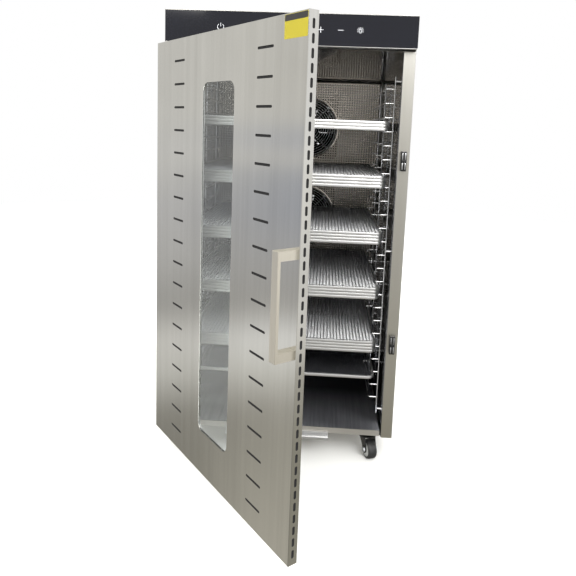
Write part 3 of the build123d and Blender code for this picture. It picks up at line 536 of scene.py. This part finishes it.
def rounded_rectangle(low, high, inset, corner):
    """Points of a rounded rectangle, anticlockwise, the same number for any inset."""
    r = max(corner - inset, 0.001)
    x0, x1, y0, y1 = low.x + inset + r, high.x - inset - r, low.y + inset + r, high.y - inset - r
    points = []
    for cx, cy, start in ((x1, y0, -90), (x1, y1, 0), (x0, y1, 90), (x0, y0, 180)):
        for k in range(corner_steps + 1):
            turn = math.radians(start + 90 * k / corner_steps)
            points.append((cx + r * math.cos(turn), cy + r * math.sin(turn)))
    return points


def tray_rim(low, high, bottom):
    """Folded rim: rolled outer face, bead at the top and a flange turned inwards."""
    profile = [(0.0010, 0.0), (0.0003, 0.0004), (0.0, 0.0012), (0.0, 0.0062), (0.0003, 0.0071),
               (0.0011, rim_height), (0.0054, rim_height), (0.0060, 0.0071), (0.0054, 0.0066),
               (0.0012, 0.0064), (0.0010, 0.0058)]
    rings = [rounded_rectangle(low, high, inset, rim_corner) for inset, _ in profile]
    count = len(rings[0])
    points = [Vector((x, y, bottom + up)) for ring, (_, up) in zip(rings, profile) for x, y in ring]
    faces = []
    for j in range(len(profile)):
        j2 = (j + 1) % len(profile)
        for k in range(count):
            k2 = (k + 1) % count
            faces.append((j * count + k, j * count + k2, j2 * count + k2, j2 * count + k))
    return points, faces


def half_reach(place, half, length_half):
    """How far a wire at this distance from the middle runs before it meets the rounded corner."""
    beyond = abs(place) - (half - rim_corner)
    cut = rim_corner - math.sqrt(max(rim_corner ** 2 - beyond ** 2, 0.0)) if beyond > 0 else 0.0
    return length_half - cut


def tray_mesh(low, high, ridge_radius, cross_radius):
    """Two layers of wires at height 0, ridges front to back over cross wires."""
    centre = (low + high) / 2
    half_x, half_y = (high.x - low.x) / 2 - 0.0011, (high.y - low.y) / 2 - 0.0011
    ridges, crosses = [], []
    count = int(half_x / ridge_pitch)
    for i in range(-count, count + 1):
        x = i * ridge_pitch
        reach = half_reach(x, half_x, half_y)
        ridges.append(([Vector((centre.x + x, centre.y - reach, ridge_radius)),
                        Vector((centre.x + x, centre.y + reach, ridge_radius))], False))
    count = int(half_y / cross_pitch)
    for i in range(-count, count + 1):
        y = i * cross_pitch
        reach = half_reach(y, half_y, half_x)
        crosses.append(([Vector((centre.x - reach, centre.y + y, -cross_radius * 0.6)),
                         Vector((centre.x + reach, centre.y + y, -cross_radius * 0.6))], False))
    return joined(wires(ridges, ridge_radius, 6), wires(crosses, cross_radius, 4))


rim_steel, tree, place = blank_material("tray_rim_bright")
drawn = add(tree, "Mapping", {"Vector": place, "Scale": (8.0, 8.0, 900.0)}).outputs["Vector"]
lines = add(tree, "TexNoise", {"Vector": drawn, "Scale": 1.0, "Detail": 3.0})
shade = add(tree, "MixRGB", {"Fac": lines.outputs["Fac"], "Color1": linear("#dcdcdc"),
                             "Color2": linear("#f2f2f0")})
rough = add(tree, "MapRange", {"Value": lines.outputs["Fac"], "To Min": 0.28, "To Max": 0.45})
finish_with(tree, Base_Color=shade.outputs["Color"], Metallic=1.0, Roughness=rough.outputs["Result"])

knots_per_metre = 240.0  # one for each cross wire


def woven_mesh(name, bright, dull):
    """Woven wire: each crossing is a small knot in tone and relief."""
    material, tree, place = blank_material(name)
    weave = add(tree, "TexVoronoi", {"Vector": place, "Scale": knots_per_metre})
    shade = add(tree, "MixRGB", {"Fac": weave.outputs["Distance"], "Color1": linear(bright),
                                 "Color2": linear(dull)})
    knots = add(tree, "Bump", {"Height": weave.outputs["Distance"], "Strength": 0.5, "Distance": 0.0006})
    finish_with(tree, Base_Color=shade.outputs["Color"], Metallic=1.0, Roughness=0.5,
                Normal=knots.outputs["Normal"])
    return material


mesh_steel = woven_mesh("tray_mesh_woven", "#fafafa", "#d5d6d8")
# The same wire, toned darker for the lone tray, which stands in the shade low in the chamber.
shaded_mesh = woven_mesh("tray_mesh_shaded", "#5b5c60", "#3f4044")

for name in [f"tray_stack_{i}" for i in range(1, 6)] + ["tray_single"]:
    low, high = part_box(name)
    count = round((high.z - low.z - rim_height) / tray_step) + 1
    woven = tray_mesh(low, high, *(pile_wires if count > 1 else single_wires))
    points, faces, shades = [], [], []
    for level in range(count):
        bottom = low.z + level * tray_step
        rim_points, rim_faces = tray_rim(low, high, bottom)
        net_points = [p + Vector((0, 0, bottom + mesh_level)) for p in woven[0]]
        start = len(points)
        points += rim_points
        faces += [tuple(i + start for i in face) for face in rim_faces]
        shades += [0] * len(rim_faces)
        start = len(points)
        points += net_points
        faces += [tuple(i + start for i in face) for face in woven[1]]
        shades += [1] * len(woven[1])
    net = mesh_steel if count > 1 else shaded_mesh
    pile = new_piece(name + "_mesh_trays", points, faces, [rim_steel, net], shades)
    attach(pile, name)
    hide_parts(name)

# ---------------------------------------------------------------- drip tray
# A shallow stainless pan on rails under the base. Its folded front lip is the pull.
bright_rolled = plated("drip_tray_rolled_stainless", "#d6d6d6", 0.3)
dress(bright_rolled, "drip_tray")
soften("drip_tray", 0.0005)

# ---------------------------------------------------------------- door
# A single brushed sheet folded to a shallow pan, with punched air slots, a row of slots in its free
# edge and a long window. Toughened glass lies behind the opening, clamped by a bright frame.
door_steel = brushed_stainless("door_brushed", "#dcdbd6", "#cfcec9", 0.16, hair_spacing, "Z", 0.6)
dress(door_steel, "door_skin")
dress(plated("window_frame_stainless", "#c9c9c7", 0.2), "window_frame")
glass, tree, place = blank_material("window_toughened_glass")
dust = add(tree, "TexNoise", {"Vector": place, "Scale": 40.0, "Detail": 4.0})
rough = add(tree, "MapRange", {"Value": dust.outputs["Fac"], "From Min": 0.4, "From Max": 0.8,
                               "To Min": 0.0, "To Max": 0.06})
finish_with(tree, Base_Color=linear("#f0f5f5"), Roughness=rough.outputs["Result"], IOR=1.5,
            Transmission_Weight=1.0)
dress(glass, "window_glass")

# ---------------------------------------------------------------- handle
# A flat D-shaped pull, milled and plated in satin nickel, screwed on from inside the door.
handle_metal, tree, place = blank_material("handle_satin_nickel")
brushed = add(tree, "Mapping", {"Vector": place, "Scale": (900.0, 900.0, 30.0)}).outputs["Vector"]
satin = add(tree, "TexNoise", {"Vector": brushed, "Scale": 1.0, "Detail": 3.0})
touched = add(tree, "TexNoise", {"Vector": place, "Scale": 30.0, "Detail": 2.0})
shade = add(tree, "MixRGB", {"Fac": satin.outputs["Fac"], "Color1": linear("#dcd6c8"),
                             "Color2": linear("#ece7db")})
rough = add(tree, "MapRange", {"Value": touched.outputs["Fac"], "To Min": 0.28, "To Max": 0.42})
relief = add(tree, "Bump", {"Height": satin.outputs["Fac"], "Strength": 0.1, "Distance": 0.0002})
finish_with(tree, Base_Color=shade.outputs["Color"], Metallic=1.0, Roughness=rough.outputs["Result"],
            Normal=relief.outputs["Normal"])
dress(handle_metal, "door_handle")
soften("door_handle", 0.0012, 3)

# ---------------------------------------------------------------- printed label
# A plain film label with rounded corners, printed black over yellow with a thin border and without
# lettering or signs. It is stuck to the door's top free corner.
label_width, label_band = 0.065, 0.011
label_corner = 0.0015
label_border = 0.0006
film_thickness = 0.0002
label_low, label_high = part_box("caution_label")
sweep_angle = math.atan2(label_low.y - label_high.y, label_high.x - label_low.x)
door_right = Vector((math.cos(sweep_angle), math.sin(sweep_angle), 0))
door_out = Vector((door_right.y, -door_right.x, 0))
label_middle = (label_low + label_high) / 2
label_origin = Vector((label_middle.x, label_middle.y, 0)) - door_right * label_width / 2
label_origin += door_out * 0.00005


def thin_patch(origin, along, out, x0, x1, z0, z1, corner, front, back):
    """A thin rounded patch standing on the line origin + along; front and back are offsets along out."""
    outline = rounded_rectangle(Vector((x0, z0, 0)), Vector((x1, z1, 0)), 0.0, corner)
    count = len(outline)
    points = []
    for height in (back, front):
        for x, z in outline:
            points.append(origin + along * x + out * height + Vector((0, 0, z)))
    faces = [tuple(range(count, 2 * count)), tuple(reversed(range(count)))]
    faces += [(k, (k + 1) % count, count + (k + 1) % count, count + k) for k in range(count)]
    return points, faces


def printed_film(name, colour):
    """Gloss printed film with a faint print grain."""
    material, tree, place = blank_material(name)
    dots = add(tree, "TexNoise", {"Vector": place, "Scale": 1500.0, "Detail": 1.0})
    shade = shaded(tree, colour, dots.outputs["Fac"], 0.93, 1.05)
    finish_with(tree, Base_Color=shade, Roughness=0.32, Coat_Weight=0.4, Coat_Roughness=0.1)
    return material


z0, z1 = label_low.z, label_high.z
on_door = (label_origin, door_right, door_out)
sheet_patch = thin_patch(*on_door, 0, label_width, z0, z1, label_corner,
                         film_thickness * 0.5, -film_thickness * 0.5)
band_patch = thin_patch(*on_door, label_border, label_width - label_border, z1 - label_band,
                        z1 - label_border, label_corner * 0.7, film_thickness * 0.7, film_thickness * 0.3)
label_points, label_faces = joined(sheet_patch, band_patch)
label_shades = [0] * len(sheet_patch[1]) + [1] * len(band_patch[1])
label_inks = [printed_film("label_yellow", "#a09417"), printed_film("label_black", "#1c1a17")]
label = new_piece("plain_label", label_points, label_faces, label_inks, label_shades)
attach(label, "door")
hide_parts("caution_label")

# ---------------------------------------------------------------- slot shade strips
# Strips of black woven sheet lie inside the door, behind both slot columns and the edge slots. They are
# painted shade: a dark sheet put where the slots show only shade, so that every slot looks black.
vent_side = 0.124
shade_sheet_half_width = 0.034
shade_sheet_end = 0.028
shade_sheet_corner = 0.003
shade_sheet_gap, shade_sheet_thickness = 0.0003, 0.0009
edge_margin, end_margin = 0.002, 0.004
door_gauge = 0.0012
thread_spacing = 0.0012
slot_shade_black, tree, place = blank_material("black_sheet_painted_shade")
threads = add(tree, "TexVoronoi", {"Vector": place, "Scale": 1 / thread_spacing})
shade = add(tree, "MixRGB", {"Fac": threads.outputs["Distance"], "Color1": linear("#070708"),
                             "Color2": linear("#161618")})
relief = add(tree, "Bump", {"Height": threads.outputs["Distance"], "Strength": 0.4, "Distance": 0.0003})
finish_with(tree, Base_Color=shade.outputs["Color"], Roughness=0.85, Normal=relief.outputs["Normal"])
skin_points = [v.co for v in nodes["door_skin"].data.vertices]
skin_along = [p.dot(door_right) for p in skin_points]
skin_out = [p.dot(door_out) for p in skin_points]
skin_z = [p.z for p in skin_points]
door_corner = door_right * max(skin_along) + door_out * max(skin_out)
face_inside = -(door_gauge + shade_sheet_gap)
pan_depth = max(skin_out) - min(skin_out)
shade_sheet_z = (min(skin_z) + shade_sheet_end, max(skin_z) - shade_sheet_end)
strips = []
for x in (-vent_side, min(skin_along) - max(skin_along) + vent_side):
    strips.append(thin_patch(door_corner, door_right, door_out, x - shade_sheet_half_width, x + shade_sheet_half_width,
                             *shade_sheet_z, shade_sheet_corner, face_inside, face_inside - shade_sheet_thickness))
strips.append(thin_patch(door_corner, -door_out, door_right, edge_margin, pan_depth - edge_margin,
                         min(skin_z) + end_margin, max(skin_z) - end_margin, edge_margin,
                         face_inside, face_inside - shade_sheet_thickness))
slot_shade_strips = new_piece("slot_painted_shade_strips", *joined(*strips), [slot_shade_black])
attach(slot_shade_strips, "door")

# ---------------------------------------------------------------- control head
# Back-painted glass over a folded steel tray that holds the display and the circuit board. The touch
# signs are printed in white: power, plus, minus and lamp.
fascia, tree, place = blank_material("fascia_back_painted_glass")
haze = add(tree, "TexNoise", {"Vector": place, "Scale": 5.0, "Detail": 2.0})
shade = add(tree, "MixRGB", {"Fac": haze.outputs["Fac"], "Color1": linear("#07080f"),
                             "Color2": linear("#0d0f19")})
finish_with(tree, Base_Color=shade.outputs["Color"], Roughness=0.07)
dress(fascia, "control_fascia")
control_sheet = brushed_stainless("control_tray_steel", "#cfcecb", "#bdbcb9", 0.3, hair_spacing,
                                  "X", 0.4, (1, 0, 0))
dress(control_sheet, "control_box")
dress(moulded("display_gloss_plastic", "#0c0c10", 0.15, 0.002, 0.00005), "display_module")

laminate, tree, place = blank_material("board_solder_mask")
traces = add(tree, "TexBrick", {"Vector": place, "Color1": linear("#1d5a34"), "Color2": linear("#22663b"),
                                "Mortar": linear("#2f7d49"), "Scale": 160.0, "Mortar Size": 0.06})
finish_with(tree, Base_Color=traces.outputs["Color"], Roughness=0.35, Coat_Weight=0.3, Coat_Roughness=0.2)
dress(laminate, "control_board")

print_stroke = 0.0005
print_film = 0.00006
fascia_low, fascia_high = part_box("control_fascia")
sign_z = (fascia_low.z + fascia_high.z) / 2
sign_x = {"power": -0.166, "plus": 0.071, "minus": 0.118, "lamp": 0.164}


def sign(name):
    """Strokes of one touch sign, about 16 mm across, around the origin in X and Z."""
    def arc(radius, start, stop, steps=24):
        turns = [math.radians(start + (stop - start) * k / steps) for k in range(steps + 1)]
        return [Vector((radius * math.cos(t), 0, radius * math.sin(t))) for t in turns]

    def line(x0, z0, x1, z1):
        return [Vector((x0, 0, z0)), Vector((x1, 0, z1))]

    if name == "power":
        return [arc(0.0075, 125, 415), line(0, 0.001, 0, 0.009)]
    if name == "plus":
        return [line(-0.0065, 0, 0.0065, 0), line(0, -0.0065, 0, 0.0065)]
    if name == "minus":
        return [line(-0.0065, 0, 0.0065, 0)]
    strokes = [arc(0.0034, -60, 240), line(-0.0014, -0.0052, 0.0014, -0.0052)]
    strokes += [line(x, -0.0030, x * 0.82, -0.0052) for x in (-0.0017, 0.0017)]
    for turn in (-20, 20, 55, 90, 125, 160, 200):
        c, s = math.cos(math.radians(turn)), math.sin(math.radians(turn))
        strokes.append(line(0.0052 * c, 0.0052 * s, 0.0080 * c, 0.0080 * s))
    return strokes


white_ink, tree, place = blank_material("sign_white_ink")
grain = add(tree, "TexNoise", {"Vector": place, "Scale": 2000.0})
shade = add(tree, "MixRGB", {"Fac": grain.outputs["Fac"], "Color1": linear("#dfe2e8"),
                             "Color2": linear("#f4f6fa")})
finish_with(tree, Base_Color=shade.outputs["Color"], Roughness=0.4)
for name, x in sign_x.items():
    points, faces = wires([(stroke, False) for stroke in sign(name)], print_stroke, 6)
    flat = [Vector((p.x + x, fascia_low.y + p.y * print_film / print_stroke, p.z + sign_z)) for p in points]
    mark = new_piece(f"sign_{name}", flat, faces, [white_ink])
    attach(mark, "cabinet")

# ---------------------------------------------------------------- magnetic catches
# Moulded ABS bodies on the right jamb, each with two pairs of nickelled pole plates that stand proud.
catch_abs = moulded("catch_abs", "#141416", 0.35, 0.0006, 0.0001)
pole_steel = plated("catch_pole_plates", "#c9cacb", 0.22)


def bevelled_block(low, high, radius, segments=3):
    """A block with rounded edges, as points and faces."""
    shape = bmesh.new()
    bmesh.ops.create_cube(shape, size=1.0)
    size = high - low
    for v in shape.verts:
        v.co = Vector((low.x + (v.co.x + 0.5) * size.x, low.y + (v.co.y + 0.5) * size.y,
                       low.z + (v.co.z + 0.5) * size.z))
    bmesh.ops.bevel(shape, geom=shape.edges[:], offset=radius, segments=segments, affect="EDGES", profile=0.5)
    shape.verts.index_update()
    found = [v.co.copy() for v in shape.verts], [tuple(v.index for v in f.verts) for f in shape.faces]
    shape.free()
    return found


pole_rise, pole_spread = 0.012, 0.0035
pole_half, pole_depth = (0.0012, 0, 0.008), 0.008
for name in ("catch_lower", "catch_upper"):
    low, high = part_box(name)
    middle = (low + high) / 2
    body = bevelled_block(Vector((low.x, low.y + 0.002, low.z)), high, 0.0016)
    bridge = bevelled_block(Vector((low.x + 0.0015, low.y + 0.0013, middle.z - 0.003)),
                            Vector((high.x - 0.0015, low.y + 0.004, middle.z + 0.003)), 0.0005)
    parts, shades = [body, bridge], [0] * (len(body[1]) + len(bridge[1]))
    for dz in (-pole_rise, pole_rise):
        for dx in (-pole_spread, pole_spread):
            low_corner = Vector((middle.x + dx, low.y, middle.z + dz)) - Vector(pole_half)
            high_corner = low_corner + 2 * Vector(pole_half) + Vector((0, pole_depth, 0))
            plate = bevelled_block(low_corner, high_corner, 0.0003, 2)
            parts.append(plate)
            shades += [1] * len(plate[1])
    catch = new_piece(name + "_magnet", *joined(*parts), [catch_abs, pole_steel], shades)
    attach(catch, "cabinet")
    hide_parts(name)

# ---------------------------------------------------------------- hinges, strikers and screws
# Butt hinges in satin stainless with plated pins, zinc plated steel strikers inside the door, and
# zinc plated pan-head screws.
hinge_satin = brushed_stainless("hinge_satin", "#c4c3be", "#b2b1ac", 0.35, 0.0012, "Z", 0.3)
zinc, tree, place = blank_material("zinc_plating")
spangle = add(tree, "TexVoronoi", {"Vector": place, "Scale": 700.0})
shade = add(tree, "MixRGB", {"Fac": spangle.outputs["Distance"], "Color1": linear("#c9ccd0"),
                             "Color2": linear("#b3b6b8")})
finish_with(tree, Base_Color=shade.outputs["Color"], Metallic=1.0, Roughness=0.34)
dress(hinge_satin, "hinge_leaves_cabinet", "hinge_leaves_door")
dress(zinc, "hinge_pins", "striker_plates", "cabinet_screws", "handle_screws")

# ---------------------------------------------------------------- casters
# Two-inch swivel casters: pressed forks with a black coat, zinc plated axle bolts, and wheels with a
# black rubber tread moulded on a grey polypropylene core.
fork_coat = moulded("caster_black_coat", "#101011", 0.22, 0.0015, 0.0001)
tread_rubber, tree, place = blank_material("caster_rubber")
scuffs = add(tree, "TexNoise", {"Vector": place, "Scale": 90.0, "Detail": 5.0})
shade = add(tree, "MixRGB", {"Fac": scuffs.outputs["Fac"], "Color1": linear("#121212"),
                             "Color2": linear("#2c2c2d")})
rough = add(tree, "MapRange", {"Value": scuffs.outputs["Fac"], "To Min": 0.4, "To Max": 0.7})
relief = add(tree, "Bump", {"Height": scuffs.outputs["Fac"], "Strength": 0.3, "Distance": 0.0003})
finish_with(tree, Base_Color=shade.outputs["Color"], Roughness=rough.outputs["Result"],
            Normal=relief.outputs["Normal"])
core_grey = moulded("caster_core_polypropylene", "#b9bab8", 0.4, 0.0009, 0.0001)
dress(fork_coat, "caster_plates")
# The way each caster happens to stand, as its axle's direction in degrees.
caster_turns = {"front_left": -25, "front_right": 20, "rear_left": 200, "rear_right": 155}
tread = [(0.0185, 0.0119), (0.0205, 0.0120), (0.0228, 0.0112), (0.0242, 0.0092), (0.0250, 0.0060),
         (0.0250, 0.0044), (0.0246, 0.0040), (0.0246, 0.0034), (0.0250, 0.0030), (0.0250, 0.0007),
         (0.0246, 0.0003)]
tread += [(r, -h) for r, h in reversed(tread)]
core = [(0.0185, 0.0118), (0.0176, 0.0122), (0.0164, 0.0118), (0.0158, 0.0104), (0.0100, 0.0100),
        (0.0090, 0.0118), (0.0080, 0.0120), (0.0042, 0.0120)]
core += [(r, -h) for r, h in reversed(core)]
for corner, turn in caster_turns.items():
    dress(fork_coat, "caster_fork_" + corner)
    dress(zinc, "caster_axle_" + corner)
    low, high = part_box("caster_wheel_" + corner)
    middle = (low + high) / 2
    axle = (math.cos(math.radians(turn)), math.sin(math.radians(turn)), 0)
    outer = lathe(tread, middle, axle, 64)
    inner = lathe(core, middle, axle, 48)
    shades = [0] * len(outer[1]) + [1] * len(inner[1])
    wheel = new_piece("caster_tyre_" + corner, *joined(outer, inner), [tread_rubber, core_grey], shades)
    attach(wheel, "wheel_" + corner)
    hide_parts("caster_wheel_" + corner)

# ---------------------------------------------------------------- studio
# A pale floor that runs out into a white surround, soft lights, and the camera a little above the
# cabinet's middle, level with the upper trays.
floor_reach = 9.0
floor_steps = 48
floor_points = [Vector((0, 0, 0))]
floor_faces = []
for k in range(floor_steps):
    turn = 2 * math.pi * k / floor_steps
    floor_points.append(Vector((floor_reach * math.cos(turn), floor_reach * math.sin(turn), 0)))
    floor_faces.append((0, k + 1, (k + 1) % floor_steps + 1))
paper, tree, place = blank_material("studio_paper")
far = add(tree, "VectorMath", {0: place}, operation="LENGTH")
fade = add(tree, "MapRange", {"Value": far.outputs["Value"], "From Min": 1.6, "From Max": 5.0})
matt = add(tree, "BsdfDiffuse", {"Color": linear("#f4f4f2")})
glow = add(tree, "Emission", {"Color": (1.0, 1.0, 1.0, 1.0), "Strength": 1.0})
mixed = add(tree, "MixShader", {0: fade.outputs["Result"], 1: matt.outputs["BSDF"],
                                2: glow.outputs["Emission"]})
add(tree, "OutputMaterial", {"Surface": mixed.outputs["Shader"]})
studio_floor = new_piece("studio_floor", floor_points, floor_faces, [paper])
studio_floor.visible_glossy = False  # the sheets mirror the room's bands instead

# What the sheets mirror, from the floor's near edge up to the ceiling: elevation in degrees, then the
# tones of the room's far wall, its left wall and its right wall.
room_bands = [(-80, "#8a877f", "#a8a59c", "#8b887c"), (-40, "#8e8b83", "#bdb9ae", "#979488"),
              (-31, "#807e77", "#b3b0a6", "#979488"), (-27, "#8f8d86", "#aeaba3", "#a9a69c"),
              (-23.5, "#d0cfca", "#e4e3de", "#b9b6ae"), (-20.5, "#dedcd8", "#ffffff", "#f4f2ee"),
              (-17.5, "#aeadaa", "#b5b3b0", "#e6e5e2"), (-13, "#c6c5c4", "#b4b4b6", "#e9e8e5"),
              (-8, "#d0cfd0", "#a9adb8", "#f2f1ee"), (-4.2, "#dcdbd9", "#aeb2bc", "#fbfaf8"),
              (-3.6, "#dedddb", "#dcdad7", "#fdfcfa"), (-2.4, "#dddcdb", "#dbdad8", "#ffffff"),
              (-1.8, "#dcdbd9", "#bcbfca", "#ffffff"), (-0.4, "#dddcd9", "#c0c3cc", "#ffffff"),
              (0.4, "#dfdedb", "#dddbd7", "#ffffff"), (20, "#dedcd8", "#dbdad6", "#ffffff"),
              (50, "#f2f1ee", "#f2f1ee", "#ffffff"), (85, "#ffffff", "#ffffff", "#ffffff")]
world = bpy.data.worlds.new("studio")
bpy.context.scene.world = world
world.use_nodes = True
tree = world.node_tree
tree.nodes.clear()
aim = add(tree, "SeparateXYZ", {"Vector": add(tree, "TexCoord").outputs["Generated"]})
level = add(tree, "MapRange", {"Value": aim.outputs["Z"], "From Min": -1.0}).outputs["Result"]
sides = []
for side in (1, 2, 3):
    ramp = add(tree, "ValToRGB", {"Fac": level})
    stops = ramp.color_ramp.elements
    for band in room_bands:
        stops.new((math.sin(math.radians(band[0])) + 1) / 2).color = linear(band[side])
    stops.remove(stops[0])
    stops.remove(stops[-1])
    sides.append(ramp.outputs["Color"])
behind = add(tree, "MapRange", {"Value": aim.outputs["Y"], "From Min": 0.42, "From Max": 0.26})
before = add(tree, "MapRange", {"Value": aim.outputs["Y"], "From Min": -0.4, "From Max": 0.1})
left = add(tree, "Math", {0: behind.outputs["Result"], 1: before.outputs["Result"]}, operation="MULTIPLY")
walls = add(tree, "MixRGB", {"Fac": left.outputs[0], "Color1": sides[0], "Color2": sides[1]})
right = add(tree, "MapRange", {"Value": aim.outputs["X"], "From Min": 0.5, "From Max": 0.85})
walls = add(tree, "MixRGB", {"Fac": right.outputs["Result"], "Color1": walls.outputs["Color"],
                             "Color2": sides[2]})
front = add(tree, "MapRange", {"Value": aim.outputs["Y"], "From Min": -0.3, "From Max": -0.6})
low_edge = add(tree, "MapRange", {"Value": aim.outputs["Z"], "From Min": 0.36, "From Max": 0.5})
window_share = add(tree, "Math", {0: front.outputs["Result"], 1: low_edge.outputs["Result"]},
                   operation="MULTIPLY")
window_glow = add(tree, "MapRange", {"Value": window_share.outputs[0], "To Min": 1.0, "To Max": 6.0})
room = add(tree, "VectorMath", {0: walls.outputs["Color"], "Scale": window_glow.outputs["Result"]},
           operation="SCALE")
seen = add(tree, "LightPath")
white = add(tree, "MixRGB", {"Fac": seen.outputs["Is Camera Ray"], "Color1": room.outputs["Vector"],
                             "Color2": (1.0, 1.0, 1.0, 1.0)})
sky = add(tree, "Background", {"Color": white.outputs["Color"], "Strength": 1.0})
add(tree, "OutputWorld", {"Surface": sky.outputs["Background"]})


def soft_light(name, place, target, size, power, colour):
    """A square softbox aimed at a point."""
    light = bpy.data.lights.new(name, "AREA")
    light.size = size
    light.energy = power
    light.color = linear(colour)[:3]
    lamp = bpy.data.objects.new(name, light)
    lamp.location = place
    lamp.rotation_mode = "QUATERNION"
    lamp.rotation_quaternion = (Vector(target) - Vector(place)).to_track_quat("-Z", "Y")
    bpy.context.scene.collection.objects.link(lamp)


cabinet_middle = (0, 0, 0.6)
soft_light("key_light", (-1.6, -3.2, 2.6), cabinet_middle, 1.8, 60, "#fffdf8")
soft_light("fill_light", (1.4, -3.2, 2.4), cabinet_middle, 1.2, 50, "#fbfcff")
soft_light("top_light", (0.2, 0.3, 3.2), cabinet_middle, 2.2, 40, "#ffffff")

camera_place = Vector((0.09636, -1.75487, 0.8711))
yaw, pitch, roll = math.radians(2.89), math.radians(7.99), math.radians(2.15)
lens_length = 36.5956  # mm, on a 36 mm frame
lens_shift = (-0.010903, -0.137413)  # shares of the frame's width
turned = Matrix(((1, 0, 0), (0, 0, -1), (0, 1, 0))) @ Matrix.Rotation(yaw, 3, "Z").transposed()
cp, sp = math.cos(pitch), math.sin(pitch)
cr, sr = math.cos(roll), math.sin(roll)
turned = Matrix(((1, 0, 0), (0, cp, -sp), (0, sp, cp))) @ turned
turned = Matrix(((cr, -sr, 0), (sr, cr, 0), (0, 0, 1))) @ turned
view = Matrix((turned[0], -turned[1], -turned[2])).transposed().to_4x4()
lens_data = bpy.data.cameras.new("camera")
lens_data.sensor_width = 36
lens_data.lens = lens_length
lens_data.shift_x, lens_data.shift_y = lens_shift
camera = bpy.data.objects.new("camera", lens_data)
camera.matrix_world = Matrix.Translation(camera_place) @ view
bpy.context.scene.collection.objects.link(camera)
bpy.context.scene.camera = camera
bpy.context.scene.view_settings.view_transform = "Standard"
